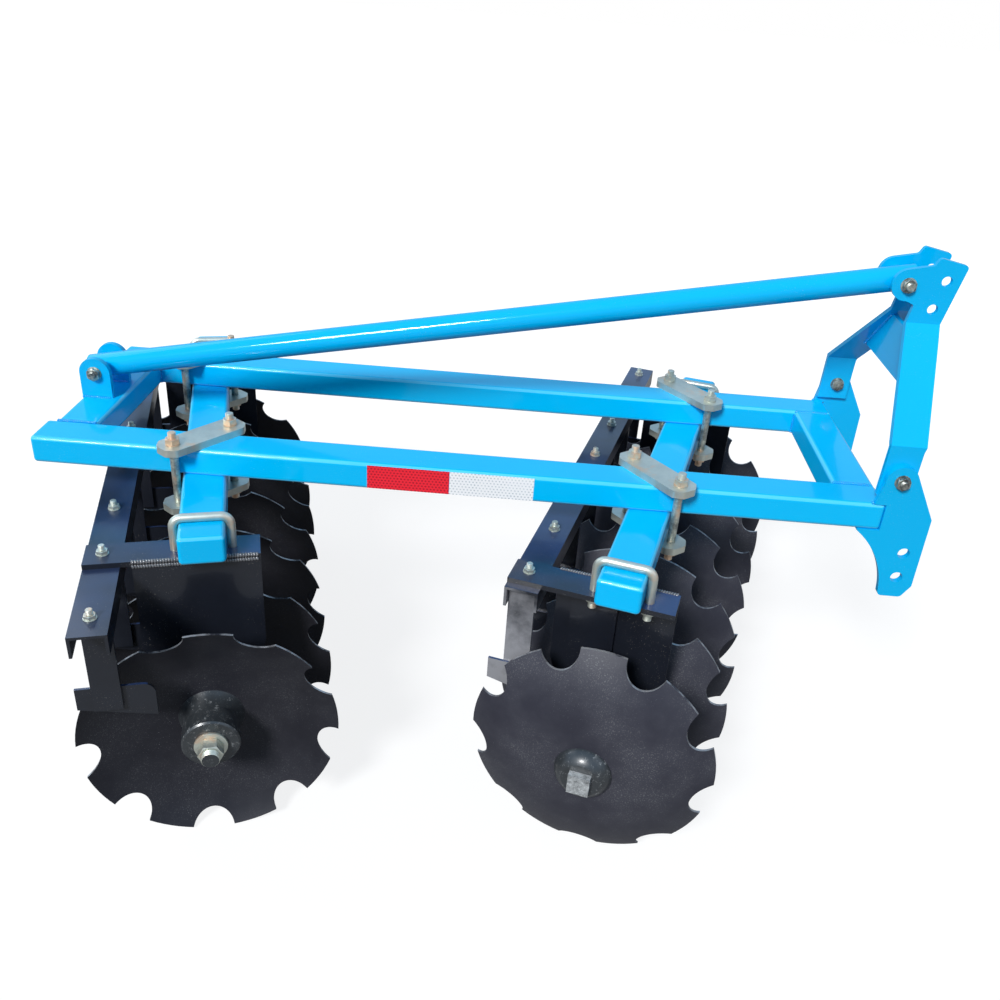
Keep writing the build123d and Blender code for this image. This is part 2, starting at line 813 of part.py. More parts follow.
# One disc: flat seat, round dish and semicircular notches, its open face up
with BuildPart() as disc:
    with BuildSketch(Plane.XZ):
        with BuildLine():
            Line((0, 0), (seat_radius, 0))
            TangentArc((seat_radius, 0), (disc_radius, disc_dish), tangent=(1, 0))
            Line((disc_radius, disc_dish), (disc_radius, disc_dish + disc_thickness))
            TangentArc(
                (seat_radius, disc_thickness),
                (disc_radius, disc_dish + disc_thickness),
                tangent=(1, 0),
            )
            Polyline((seat_radius, disc_thickness), (0, disc_thickness), (0, 0))
        make_face()
    revolve(axis=Axis.Z)
    with BuildSketch():
        Rectangle(axle_square + 2 * fit_gap, axle_square + 2 * fit_gap)
        with PolarLocations(notch_centre_radius, notch_count, start_angle=180 / notch_count):
            Circle(notch_radius)
    extrude(amount=disc_dish + 2 * disc_thickness, mode=Mode.SUBTRACT)

# Spools: between discs, through a bearing, and the short one at the nut end
spool_length = disc_pitch - disc_thickness
square_hole = axle_square + 2 * fit_gap


def spool_profile(length, waist):
    """Half profile of a spool with a flange at each end and a straight waist."""
    return [
        (0, 0),
        (spool_flange_radius, 0),
        (spool_flange_radius, spool_flange_thickness),
        (waist, spool_flange_thickness),
        (waist, length - spool_flange_thickness),
        (spool_flange_radius, length - spool_flange_thickness),
        (spool_flange_radius, length),
        (0, length),
    ]


spool_blanks = {}
for kind, waist in (("plain", spool_waist_radius), ("bearing", journal_radius)):
    with BuildPart() as spool:
        with BuildSketch(Plane.XZ):
            with BuildLine():
                Polyline(*spool_profile(spool_length, waist), close=True)
            make_face()
        revolve(axis=Axis.Z)
        with BuildSketch():
            Rectangle(square_hole, square_hole)
        extrude(amount=spool_length, mode=Mode.SUBTRACT)
    spool_blanks[kind] = spool
end_spool_edge_z = end_spool_length - end_spool_edge
with BuildPart() as end_spool:
    with BuildSketch(Plane.XZ):
        with BuildLine():
            Line((0, 0), (end_spool_foot_radius, 0))
            ThreePointArc(
                (end_spool_foot_radius, 0),
                (end_spool_waist_radius + 4, end_spool_waist / 2),
                (end_spool_waist_radius, end_spool_waist),
            )
            Polyline(
                (end_spool_waist_radius, end_spool_waist),
                (end_spool_collar_radius, end_spool_waist + end_spool_edge),
                (end_spool_collar_radius, end_spool_edge_z),
                (end_spool_collar_radius - end_spool_edge, end_spool_length),
                (0, end_spool_length),
                (0, 0),
            )
        make_face()
    revolve(axis=Axis.Z)
    with BuildSketch():
        Rectangle(square_hole, square_hole)
    extrude(amount=end_spool_length, mode=Mode.SUBTRACT)

# Gangs: everything here turns with its axle
quarter_turns = 3
nut_end = hub_stations[-1] + disc_thickness + end_spool_length
for name, (station, skew, offset, facing) in gangs.items():
    axle_line = spin_plane(name).location
    with BuildPart() as discs:
        for i, hub in enumerate(hub_stations):
            with Locations(axle_line * Location((0, 0, hub), (0, 0, 90 * (i + quarter_turns)))):
                add(disc.part)
    save(discs, f"{name}_discs")
    with BuildPart() as spools:
        for i, hub in enumerate(hub_stations[:-1]):
            kind = "bearing" if i in (0, disc_count - 2) else "plain"
            with Locations(axle_line * Location((0, 0, hub + disc_thickness))):
                add(spool_blanks[kind].part)
        with Locations(axle_line * Location((0, 0, hub_stations[-1] + disc_thickness))):
            add(end_spool.part)
    save(spools, f"{name}_spools")
    head_start = hub_stations[0] - dome_height
    with BuildPart() as axle:
        with BuildSketch(spin_plane(name, head_start)):
            Rectangle(axle_square, axle_square)
        extrude(amount=nut_end - head_start)
        with BuildSketch(spin_plane(name, head_start - head_length)):
            Rectangle(head_square, head_square)
        extrude(amount=head_length)
        with BuildSketch(spin_plane(name, nut_end)):
            Circle(stud_radius)
        extrude(amount=stud_length)
    save(axle, f"{name}_axle")
    with BuildPart() as dome:
        with BuildSketch(Plane.XZ):
            with BuildLine():
                Line((0, 0), (dome_radius, 0))
                ThreePointArc(
                    (dome_radius, 0),
                    (dome_radius * 0.88, -dome_height * 0.55),
                    (dome_flat_radius, -dome_height),
                )
                Polyline((dome_flat_radius, -dome_height), (0, -dome_height), (0, 0))
            make_face()
        revolve(axis=Axis.Z)
        with BuildSketch():
            Rectangle(square_hole, square_hole)
        extrude(amount=-dome_height, mode=Mode.SUBTRACT)
    with BuildPart() as end_washers:
        with Locations(axle_line * Location((0, 0, hub_stations[0]))):
            add(dome.part)
    save(end_washers, f"{name}_end_washers")
    with BuildPart() as axle_nut:
        with BuildSketch(spin_plane(name, nut_end)):
            Circle(washer_radius)
            Circle(stud_radius + fit_gap, mode=Mode.SUBTRACT)
        extrude(amount=washer_thickness)
        with BuildSketch(spin_plane(name, nut_end + washer_thickness)):
            RegularPolygon(nut_across_flats / 2, 6, major_radius=False)
            Circle(stud_radius + fit_gap, mode=Mode.SUBTRACT)
        extrude(amount=nut_height)
    save(axle_nut, f"{name}_axle_nut")
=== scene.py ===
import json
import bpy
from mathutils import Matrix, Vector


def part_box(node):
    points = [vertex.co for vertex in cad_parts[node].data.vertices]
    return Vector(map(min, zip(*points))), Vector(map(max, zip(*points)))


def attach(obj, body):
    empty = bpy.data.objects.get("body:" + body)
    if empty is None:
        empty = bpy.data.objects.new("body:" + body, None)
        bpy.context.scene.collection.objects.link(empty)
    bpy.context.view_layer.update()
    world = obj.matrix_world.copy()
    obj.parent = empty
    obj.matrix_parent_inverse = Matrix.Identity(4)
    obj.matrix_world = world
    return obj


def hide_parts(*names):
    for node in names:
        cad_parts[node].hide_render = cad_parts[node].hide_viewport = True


bl_info = {
    "name": "Offset disc harrow",
    "version": (1, 0, 0),
    "blender": (4, 5, 0),
    "location": "View3D > Sidebar > Disc harrow",
    "description": "Dresses the packed disc harrow with paint, welds, fasteners and tape",
    "category": "Object",
}

from math import cos, pi, radians, sin, sqrt

import bpy
from bpy.props import FloatProperty, FloatVectorProperty, PointerProperty
from mathutils import Matrix, Vector

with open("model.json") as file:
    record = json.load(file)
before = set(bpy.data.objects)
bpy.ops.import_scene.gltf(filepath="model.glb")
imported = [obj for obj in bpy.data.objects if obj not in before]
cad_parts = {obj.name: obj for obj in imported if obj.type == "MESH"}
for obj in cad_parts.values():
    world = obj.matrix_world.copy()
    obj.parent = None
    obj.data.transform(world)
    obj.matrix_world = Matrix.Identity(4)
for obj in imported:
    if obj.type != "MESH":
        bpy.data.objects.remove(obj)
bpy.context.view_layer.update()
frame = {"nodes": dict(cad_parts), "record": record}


# Shader maths as Python expressions


class Socket:
    """One node socket that can be used in sums, products and comparisons."""

    def __init__(self, tree, link):
        self.tree = tree
        self.link = link

    def _math(self, operation, *values):
        return self.tree.node("ShaderNodeMath", {"operation": operation}, list(values))

    def __add__(self, other):
        return self._math("ADD", self, other)

    __radd__ = __add__

    def __sub__(self, other):
        return self._math("SUBTRACT", self, other)

    def __rsub__(self, other):
        return self._math("SUBTRACT", other, self)

    def __mul__(self, other):
        return self._math("MULTIPLY", self, other)

    __rmul__ = __mul__

    def __truediv__(self, other):
        return self._math("DIVIDE", self, other)

    def above(self, other):
        return self._math("GREATER_THAN", self, other)

    def below(self, other):
        return self._math("LESS_THAN", self, other)

    def absolute(self):
        return self._math("ABSOLUTE", self)

    def fraction(self):
        return self._math("FRACT", self)

    def floor(self):
        return self._math("FLOOR", self)

    def root(self):
        return self._math("SQRT", self)

    def at_least(self, other):
        return self._math("MAXIMUM", self, other)

    def clamped(self):
        return self._math("MINIMUM", self.at_least(0.0), 1.0)

    def rising(self, start, steepness):
        """0 up to start, then up to 1 by the steepness."""
        return ((self - start) * steepness).clamped()


class NodeTree:
    """The nodes of a material or a world, added by type with their settings and inputs."""

    def __init__(self, name, library=None):
        self.owner = (bpy.data.materials if library is None else library).new(name)
        self.owner.use_nodes = True
        self.nodes = self.owner.node_tree.nodes
        self.links = self.owner.node_tree.links
        self.nodes.clear()

    def node(self, kind, settings=None, inputs=None, output=0):
        made = self.nodes.new(kind)
        for key, value in (settings or {}).items():
            if key == "stops":
                ramp = made.color_ramp.elements
                while len(ramp) < len(value):
                    ramp.new(0.5)
                for element, (place, colour) in zip(ramp, value):
                    element.position = place
                    element.color = (*colour, 1.0)
            else:
                setattr(made, key, value)
        pairs = inputs.items() if isinstance(inputs, dict) else enumerate(inputs or [])
        for key, value in pairs:
            if isinstance(value, Socket):
                self.links.new(value.link, made.inputs[key])
            elif hasattr(value, "__len__") and len(value) == 3:
                length = len(made.inputs[key].default_value)
                made.inputs[key].default_value = (*value, 1.0)[:length]
            else:
                made.inputs[key].default_value = value
        return Socket(self, made.outputs[output]) if made.outputs else None

    def place(self, kind="Object"):
        return self.node("ShaderNodeTexCoord", output=kind)

    def coordinates(self, kind="Object"):
        split = self.node("ShaderNodeSeparateXYZ", inputs={0: self.place(kind)}).link.node
        return [Socket(self, split.outputs[i]) for i in range(3)]

    def along(self, vector, axis):
        """The part of a vector that runs along an axis."""
        return self.node(
            "ShaderNodeVectorMath",
            {"operation": "DOT_PRODUCT"},
            [vector, tuple(axis)],
            output="Value",
        )

    def turned_from(self, axis):
        """How far the surface faces along an axis: 1 square to it, 0 side on."""
        facing = self.node("ShaderNodeNewGeometry", output="True Normal")
        return self.along(facing, axis).absolute()

    def noise(self, scale, detail=4.0, roughness=0.55):
        inputs = {"Vector": self.place(), "Scale": scale, "Detail": detail, "Roughness": roughness}
        return self.node("ShaderNodeTexNoise", inputs=inputs, output="Fac")

    def ramp(self, factor, stops):
        return self.node("ShaderNodeValToRGB", {"stops": stops}, {"Fac": factor}, output="Color")

    def mix(self, factor, first, second):
        """Two colours mixed; the numbers are the node's colour sockets."""
        inputs = {0: factor, 6: first, 7: second}
        return self.node("ShaderNodeMix", {"data_type": "RGBA"}, inputs, output=2)

    def bump(self, height, strength, distance):
        return self.node(
            "ShaderNodeBump",
            inputs={"Height": height, "Strength": strength, "Distance": distance},
            output="Normal",
        )

    def finish(self, **sockets):
        """Ends a material; each socket is named as in Blender, with _ for a space."""
        inputs = {key.replace("_", " "): value for key, value in sockets.items()}
        shader = self.node("ShaderNodeBsdfPrincipled", inputs=inputs)
        self.node("ShaderNodeOutputMaterial", inputs={"Surface": shader})
        return self.owner


def dust(tree, colour, amount, tint=(0.34, 0.32, 0.29)):
    """Small pale specks in drifts, as dried splashes of dirt leave."""
    drift = tree.noise(9.0, 3.0)
    specks = tree.noise(520.0, 2.0, 0.5)
    mask = (specks.above(0.70) * (drift - 0.42).clamped() * amount).clamped()
    return tree.mix(mask, colour, tint)


def frame_blue_paint(look, edges=0.0, shift=(1.0, 0.98, 0.90)):
    """Blue paint; edges is how strongly a painted highlight lightens a tube's rounded corners,
    shift scales red, green, blue.
    """
    tree = NodeTree("tube_blue_paint" if edges else "frame_blue_paint")
    cloud = tree.noise(6.0, 5.0)
    peel = tree.noise(360.0, 2.0)
    scuff = tree.noise(70.0, 8.0, 0.75)
    deep, light = [
        tuple(channel * share for channel, share in zip(tone, shift))
        for tone in (look.blue_deep, look.blue_light)
    ]
    colour = tree.mix(cloud, deep, light)
    rubbed = (scuff.above(0.705) * (cloud - 0.40).clamped() * 4.0).clamped()
    colour = tree.mix(rubbed * 0.55, colour, (0.30, 0.62, 0.92))
    if edges:
        # Painted highlight: the rounded corners of the box tubes are drawn paler, where the sky
        # would shine on them.
        turn = tree.turned_from((0, 0, 1))
        corner = turn.above(0.30) * turn.below(0.93)
        colour = tree.mix(corner * (cloud * 0.7 + 0.35).clamped() * edges, colour, look.blue_edge_highlight)
    colour = dust(tree, colour, 1.0, (0.45, 0.60, 0.70))
    return tree.finish(
        Base_Color=colour,
        Roughness=0.24 + cloud * 0.14 + rubbed * 0.2,
        Specular_IOR_Level=0.06,
        Specular_Tint=(0.12, 0.62, 1.0),
        Coat_Weight=0.50,
        Coat_Roughness=0.07,
        Normal=tree.bump(peel + cloud * 2.0, 0.10, 0.0005),
    )


def zinc_plate(look, name="zinc_plate", warm_above=None, warm_below=None, tarnish=0.0):
    """Plated steel, darker by its tarnish; a rod is warm above and below the two heights."""
    tree = NodeTree(name)
    blotch = tree.noise(30.0, 6.0, 0.7)
    copper = tree.noise(22.0, 4.0, 0.6)
    fine = tree.noise(300.0, 3.0)
    colour = tree.mix(blotch, look.zinc_dark, look.zinc_light)
    if tarnish:
        stain = tree.noise(70.0, 5.0, 0.7)
        colour = tree.mix(stain.rising(0.36, 4.0) * tarnish, colour, (0.055, 0.060, 0.062))
    warm = (copper - 0.56) * 7.0
    if warm_above is not None:
        height = tree.coordinates()[2]
        outside = (height.above(warm_above) + height.below(warm_below)).clamped()
        streak = tree.noise(55.0, 7.0, 0.75)
        shank = (1.0 - outside) * streak.rising(0.40, 5.0)
        colour = tree.mix(shank * 0.75, colour, (0.10, 0.11, 0.11))
        warm = warm + outside * (copper * 2.0 + 0.05)
    colour = tree.mix(warm.clamped() * 0.80, colour, look.zinc_copper)
    return tree.finish(
        Base_Color=colour,
        Metallic=0.75,
        Roughness=0.30 + blotch * 0.22,
        Normal=tree.bump(fine + blotch, 0.18, 0.0003),
    )


def disc_paint(look, gang):
    """Disc paint with soil specks, worn to bare steel on the rim and in the notches."""
    tree = NodeTree(f"disc_paint_{gang}")
    cloud = tree.noise(8.0, 6.0, 0.6)
    fine = tree.noise(280.0, 3.0)
    streak = tree.noise(34.0, 9.0, 0.7)
    edge = tree.turned_from(gang_axis[gang]).below(0.30)
    level = disc_level[gang]
    dark, light = [
        [channel * level for channel in tone] for tone in (look.disc_dark, look.disc_light)
    ]
    colour = tree.mix(cloud.rising(0.34, 3.2), dark, light)
    soiled = (streak.above(0.66) * (cloud - 0.45).clamped() * 1.6).clamped()
    colour = tree.mix(soiled, colour, (0.055, 0.052, 0.050))
    colour = dust(tree, colour, 2.0, (0.30, 0.31, 0.32))
    speck = tree.noise(420.0, 3.0, 0.6).above(0.60) * cloud.rising(0.44, 5.0)
    colour = tree.mix(speck * 0.30 * (level / disc_level["front"]), colour, (0.30, 0.31, 0.30))
    bare = edge * streak.rising(0.38, 5.0)
    colour = tree.mix(bare * 0.85, colour, look.worn_edge)
    return tree.finish(
        Base_Color=colour,
        Metallic=bare * 0.6,
        Roughness=0.36 + cloud * 0.20,
        Specular_IOR_Level=0.22,
        Normal=tree.bump(fine + cloud, 0.10, 0.0003),
    )


def along_axle(tree, gang):
    """How far a place lies along a gang's axle, leftwards from its joint."""
    return tree.along(tree.place(), gang_axis[gang]) - gang_joint[gang].dot(gang_axis[gang])


def black_paint(look, name="black_paint", painted_sheen_end=None):
    """Black paint; the front scrapers' has a painted pale sun sheen at the right end, as far as
    painted_sheen_end.
    """
    tree = NodeTree(name)
    cloud = tree.noise(12.0, 5.0)
    fine = tree.noise(330.0, 3.0)
    scuff = tree.noise(60.0, 9.0, 0.75)
    colour = tree.mix(cloud, look.black_dark, look.black_light)
    rubbed = (scuff.above(0.69) * (cloud - 0.45).clamped() * 3.0).clamped()
    # Level faces take a painted blue sky reflection, in drifts.
    lying = tree.turned_from((0, 0, 1)).above(0.9)
    drift = tree.noise(4.0, 3.0)
    colour = tree.mix(lying * drift.rising(0.30, 2.6), colour, look.black_sky_reflection)
    colour = tree.mix(rubbed, colour, (0.09, 0.09, 0.10))
    # Painted sun sheen: the near end of the front scrapers is drawn pale, more so lower down, but
    # not on level faces.
    if painted_sheen_end is not None:
        beyond = painted_sheen_end - along_axle(tree, "front")
        drop = bar_bottom - tree.coordinates()[2]
        patch = (tree.noise(17.0, 5.0, 0.6) * 2.4 - 1.0 + drop * 4.5).clamped()
        pale = (beyond * 30.0).clamped() * patch * (1.0 - lying)
        colour = tree.mix(pale * 0.8, colour, look.black_painted_sheen)
    colour = dust(tree, colour, 4.0)
    return tree.finish(
        Base_Color=colour,
        Roughness=0.24 + cloud * 0.18 + rubbed * 0.2,
        Specular_IOR_Level=0.40,
        Coat_Weight=0.40,
        Coat_Roughness=0.10,
        Normal=tree.bump(fine + cloud, 0.12, 0.0004),
    )


def worn_casting(look, gang):
    """Cast domes and axle ends: scraped, and rubbed bright on the axle's square head."""
    tree = NodeTree(f"worn_casting_{gang}")
    along = along_axle(tree, gang) * -open_side[gang]
    dome_top = hub_stations[0] - dome_height
    head = along.below((dome_top - 0.2) * mm)
    scrape = tree.noise(95.0, 9.0, 0.8)
    cloud = tree.noise(26.0, 4.0)
    colour = tree.mix(cloud, look.casting_dark, look.casting_light)
    rubbed_head = head * scrape.rising(0.34, 4.0) * 0.9
    bare = (scrape.rising(0.56, 9.0) * 0.55 + rubbed_head).clamped()
    colour = tree.mix(bare, colour, look.casting_bare)
    return tree.finish(
        Base_Color=dust(tree, colour, 3.0),
        Metallic=bare * 0.4,
        Roughness=0.26 + cloud * 0.16 + bare * 0.12,
        Specular_IOR_Level=0.5,
        Coat_Weight=0.2,
        Coat_Roughness=0.12,
        Normal=tree.bump(scrape + cloud, 0.35, 0.0006),
    )


def weld_seam(name, light, dark, level):
    """Beads under paint, blotched between a light and a dark colour; the black beads' light grey
    is a painted highlight.
    """
    tree = NodeTree(name)
    grit = tree.noise(500.0, 3.0)
    cloud = tree.noise(60.0, 4.0)
    return tree.finish(
        Base_Color=tree.mix(cloud, dark, light),
        Roughness=0.16 + cloud * 0.12,
        Specular_IOR_Level=level,
        Coat_Weight=0.6,
        Coat_Roughness=0.08,
        Normal=tree.bump(grit, 0.20, 0.0003),
    )


def reflective_tape(look):
    """Two lengths of marker tape: red with dark cells, then white with grey cells."""
    tree = NodeTree("reflective_tape")
    x, _, z = tree.coordinates()
    row_pitch = look.tape_cell * 0.866
    row = z / row_pitch
    every_other = (row.floor() * 0.5).fraction()
    across = (x / look.tape_cell + every_other).fraction() - 0.5
    upward = row.fraction() - 0.5
    dot = (across * across + upward * upward).root().below(0.27)
    fade = tree.noise(16.0, 3.0)
    red = tree.mix(dot * 0.8, look.tape_red, (0.36, 0.004, 0.018))
    white = tree.mix(dot * (fade * 1.3).clamped(), look.tape_white, (0.42, 0.47, 0.50))
    white_part = x.above(rail_spot(tape_joint, 0, 0).x)
    return tree.finish(
        Base_Color=tree.mix(white_part, red, white),
        Roughness=0.22 + dot * 0.12 + fade * 0.08,
        Specular_IOR_Level=0.2,
        Coat_Weight=0.1,
        Coat_Roughness=0.10,
        Normal=tree.bump(dot * 0.5, 0.25, 0.0002),
    )


def greased_seal():
    """Grease smeared over the bearing seals."""
    tree = NodeTree("greased_seal")
    smear = tree.noise(80.0, 5.0, 0.7)
    return tree.finish(
        Base_Color=tree.mix(smear, (0.010, 0.009, 0.008), (0.05, 0.042, 0.03)),
        Roughness=0.30 + smear * 0.3,
        Specular_IOR_Level=0.4,
        Normal=tree.bump(smear, 0.3, 0.0004),
    )


def colour_setting(name, description, default):
    return FloatVectorProperty(
        name=name, description=description, subtype="COLOR", size=3, default=default, min=0, max=1
    )


def length_setting(name, description, default, least):
    return FloatProperty(
        name=name, description=description, unit="LENGTH", default=default, min=least
    )


class HarrowLook(bpy.types.PropertyGroup):
    """Colours of the harrow's finishes"""

    blue_light: colour_setting(
        "Frame blue, light", "Paint where it is cleanest", (0.0, 0.50, 0.98)
    )
    blue_deep: colour_setting(
        "Frame blue, deep", "Paint where it lies thicker", (0.0, 0.455, 0.94)
    )
    blue_edge_highlight: colour_setting(
        "Frame blue, edge highlight", "Painted highlight on the rounded corners of the box tubes", (0.30, 0.86, 1.0)
    )
    zinc_light: colour_setting("Zinc, light", "Bright patches of the plating", (0.77, 0.78, 0.68))
    zinc_dark: colour_setting("Zinc, dark", "Dull patches of the plating", (0.40, 0.42, 0.36))
    zinc_copper: colour_setting(
        "Zinc, warm", "Coppery patches of the passivation", (0.80, 0.52, 0.33)
    )
    worn_edge: colour_setting(
        "Worn edge", "Bare steel on the rims and in the notches", (0.50, 0.50, 0.51)
    )
    tape_red: colour_setting(
        "Tape, red", "Red length of the reflective tape", (0.92, 0.025, 0.045)
    )
    tape_white: colour_setting(
        "Tape, white", "White length of the reflective tape", (0.96, 0.96, 0.96)
    )
    tape_cell: length_setting(
        "Tape cell", "Pitch of the cells in the reflective tape", 0.0066, 0.001
    )
    disc_light: colour_setting(
        "Disc, light", "Disc paint where it is thin", (0.012, 0.012, 0.015)
    )
    disc_dark: colour_setting("Disc, dark", "Disc paint", (0.0065, 0.0065, 0.009))
    black_sky_reflection: colour_setting(
        "Black, painted sky reflection", "Painted sky reflection that lies on the level faces of the black steel",
        (0.026, 0.054, 0.150),
    )
    black_painted_sheen: colour_setting(
        "Black, painted sheen", "Painted sun sheen at the near end of the front scrapers", (0.34, 0.34, 0.36)
    )
    casting_light: colour_setting(
        "Casting, light", "Cast iron where the paint is thin", (0.046, 0.051, 0.055)
    )
    casting_dark: colour_setting("Casting, dark", "Cast iron under paint", (0.014, 0.017, 0.020))
    casting_bare: colour_setting(
        "Casting, bare", "Scraped edges and the axle's head", (0.62, 0.64, 0.64)
    )
    black_light: colour_setting(
        "Black, light", "Black paint where it is dusty", (0.014, 0.017, 0.026)
    )
    black_dark: colour_setting("Black, dark", "Black paint", (0.007, 0.008, 0.012))


class HarrowFittings(bpy.types.PropertyGroup):
    """Sizes of the fittings that the frame leaves to this file"""

    bead_radius: length_setting("Weld bead", "Radius of a weld bead", 0.0042, 0.001)
    bead_pitch: length_setting(
        "Weld ripple", "Distance between two ripples of a bead", 0.0046, 0.001
    )
    thread_pitch: length_setting("Thread pitch", "Pitch of the studs' threads", 0.0020, 0.0005)
    tape_thickness: length_setting(
        "Tape thickness", "Thickness of the reflective tape", 0.0005, 0.0001
    )


class StageSettings(bpy.types.PropertyGroup):
    """Camera, floor and lamps"""

    floor_colour: colour_setting("Floor", "Colour of the pale floor", (0.20, 0.20, 0.20))
    floor_glare: FloatProperty(
        name="Floor glare", description="How bright the floor is in reflections",
        default=0.2, min=0,
    )
    sun_strength: FloatProperty(
        name="Sun", description="Strength of the low sun behind the camera's left",
        default=3.15, min=0,
    )
    fill_power: FloatProperty(
        name="Fill lamps", description="Power of the two large soft lamps",
        unit="POWER", default=40.0, min=0,
    )
    sky_strength: FloatProperty(
        name="Sky", description="Strength of the even light from all round", default=0.34, min=0
    )
    sky_colour: colour_setting(
        "Sky colour", "Colour of the even light and of what the paint mirrors", (0.42, 0.68, 1.0)
    )
    horizon_colour: colour_setting(
        "Horizon colour", "Colour of the even light low down", (0.58, 0.62, 0.66)
    )


def settings():
    scene = bpy.context.scene
    return scene.harrow_look, scene.harrow_stage, scene.harrow_fittings


def deselect():
    if bpy.context.object and bpy.context.object.mode != "OBJECT":
        bpy.ops.object.mode_set(mode="OBJECT")
    bpy.ops.object.select_all(action="DESELECT")


# Places on the harrow, in metres, from the frame and from the sizes in the part's source


mm = 0.001
caps_low, caps_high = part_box("rail_caps")
rail_start = caps_low[0]
centre_line = (caps_low[1] + caps_high[1]) / 2
rail_top = caps_high[2]

# In millimetres
axle_set_back = 10
dome_height = 24
tube_width = 80
tube_height = 54
frame_width = 495
rail_length = 1605
rear_cross_start = 18
bar_thickness = 10
bar_rear = 200
plate_thickness, strap_thickness = 12, 10
ear_inner, ear_thickness = 38.5, 12
ear_outer = ear_inner + ear_thickness
head_outer = ear_inner + strap_thickness
hanger_inner, hanger_outer = 22.5, 32.5
hanger_rear, hanger_front = -120, 97
housing_length = 54
end_spool_length = 78
disc_pitch = 176
scraper_stations = [disc_pitch * (i - 3) + 79 for i in range(7)]
bar_stations = [scraper_stations[0], scraper_stations[-2]]
hub_stations = [disc_pitch * (i - 3) - 29 for i in range(7)]
scraper_ahead = 30.5 - bar_rear
tape_rear, tape_joint, tape_front = 637, 792, 951
tape_height = 47.5

# In metres
bar_bottom = rail_top - (2 * tube_height + bar_thickness) * mm
beam_bottom = rail_top - 2 * tube_height * mm
clamp_plate = 0.014
rod_radius = 0.008
nut_flats, nut_height = 0.024, 0.011
washer_radius, washer_height = 0.0135, 0.002
rod_edge = 0.0005

# In millimetres over the rails: where the mast straps lean inwards, and the plate between them
foot_top, head_bottom = 112, 284
cross_plate_low, cross_plate_high = head_bottom - 110, head_bottom - 12
strap_inner = frame_width / 2 - plate_thickness - strap_thickness
strap_slant = (strap_inner - ear_inner) / (head_bottom - foot_top)

# 1 where a gang's discs open to the right, -1 to the left
open_side = {"front": -1, "rear": 1}

gang_joint = {}
gang_axis = {}
gang_ahead = {}
for joint in frame["record"]["behaviour"]["joints"]:
    gang = joint["name"].split("_")[0]
    gang_joint[gang] = Vector(joint["pos_m"])
    gang_axis[gang] = Vector(joint["axis"]).normalized()
    gang_ahead[gang] = Vector((gang_axis[gang].y, -gang_axis[gang].x, 0))


def rail_spot(station, left, above_rail):
    """A point from a station along the rails, a distance to the left, a height over the rails."""
    return Vector((rail_start + station * mm, centre_line + left * mm, rail_top + above_rail * mm))


def gang_spot(gang, along, ahead, height):
    """A point by its distances along the axle, towards the open faces, and ahead of the beam."""
    point = gang_joint[gang] - gang_axis[gang] * open_side[gang] * along * mm
    point = point + gang_ahead[gang] * (ahead + axle_set_back) * mm
    return Vector((point.x, point.y, height))


def clamp_rod_spot(gang, left, ahead):
    """The ground under a clamp rod, by its distances left of the middle and ahead of the beam."""
    axis = gang_axis[gang]
    base = gang_joint[gang] + gang_ahead[gang] * axle_set_back * mm
    along = (centre_line + left * mm - base.y + ahead * mm * axis.x) / axis.y
    point = base + axis * along + gang_ahead[gang] * ahead * mm
    return Vector((point.x, point.y, 0))


def standing(origin, up=(0, 0, 1), ahead=(1, 0, 0)):
    """A placing whose Z runs along up and whose X is the nearest it can be to ahead."""
    z = Vector(up).normalized()
    x = (Vector(ahead) - z * z.dot(Vector(ahead))).normalized()
    turned = Matrix((x, z.cross(x), z)).transposed().to_4x4()
    return Matrix.Translation(origin) @ turned


# Modelling steps shared by the pieces


def pick_faces(piece, wanted):
    """Selects, in edit mode, the faces of which wanted(middle, normal) is true."""
    bpy.ops.object.mode_set(mode="EDIT")
    bpy.ops.mesh.select_mode(type="FACE")
    bpy.ops.mesh.select_all(action="DESELECT")
    bpy.ops.object.mode_set(mode="OBJECT")
    for face in piece.data.polygons:
        face.select = bool(wanted(face.center, face.normal))
    bpy.ops.object.mode_set(mode="EDIT")


def leave_edit():
    bpy.ops.object.mode_set(mode="OBJECT")


def apply_modifier(piece, kind, **values):
    made = piece.modifiers.new(kind.lower(), kind)
    for key, value in values.items():
        setattr(made, key, value)
    bpy.ops.object.modifier_apply(modifier=made.name)


def rounded_cylinder(radius, length, edge, sides=28, low=0.0):
    """A bar with rounded ends, standing on Z = low."""
    deselect()
    bpy.ops.mesh.primitive_cylinder_add(
        vertices=sides, radius=radius, depth=length, location=(0, 0, low + length / 2)
    )
    piece = bpy.context.object
    bpy.ops.object.transform_apply()
    pick_faces(piece, lambda middle, normal: abs(normal.z) > 0.9)
    bpy.ops.mesh.bevel(offset=edge, segments=2)
    leave_edit()
    bpy.ops.object.shade_smooth_by_angle(angle=radians(40))
    return piece


def chamfered_hexagon(flats, height, low=0.0):
    """A nut or bolt head: a hexagon cut by a cone at both ends."""
    corner = flats / sqrt(3)
    inset = corner - flats * 0.475
    step = inset * 0.5
    deselect()
    bpy.ops.mesh.primitive_cylinder_add(
        vertices=48, radius=corner, depth=height - 2 * step, location=(0, 0, low + height / 2)
    )
    turned = bpy.context.object
    bpy.ops.object.transform_apply()
    pick_faces(turned, lambda middle, normal: abs(normal.z) > 0.9)
    bpy.ops.mesh.inset(thickness=inset, depth=step, use_individual=True)
    leave_edit()
    deselect()
    bpy.ops.mesh.primitive_cylinder_add(
        vertices=6, radius=corner, depth=height * 1.2, location=(0, 0, low + height / 2)
    )
    piece = bpy.context.object
    bpy.ops.object.transform_apply()
    apply_modifier(piece, "BOOLEAN", operation="INTERSECT", object=turned, solver="EXACT")
    bpy.data.objects.remove(turned)
    bpy.ops.object.shade_smooth_by_angle(angle=radians(25))
    return piece


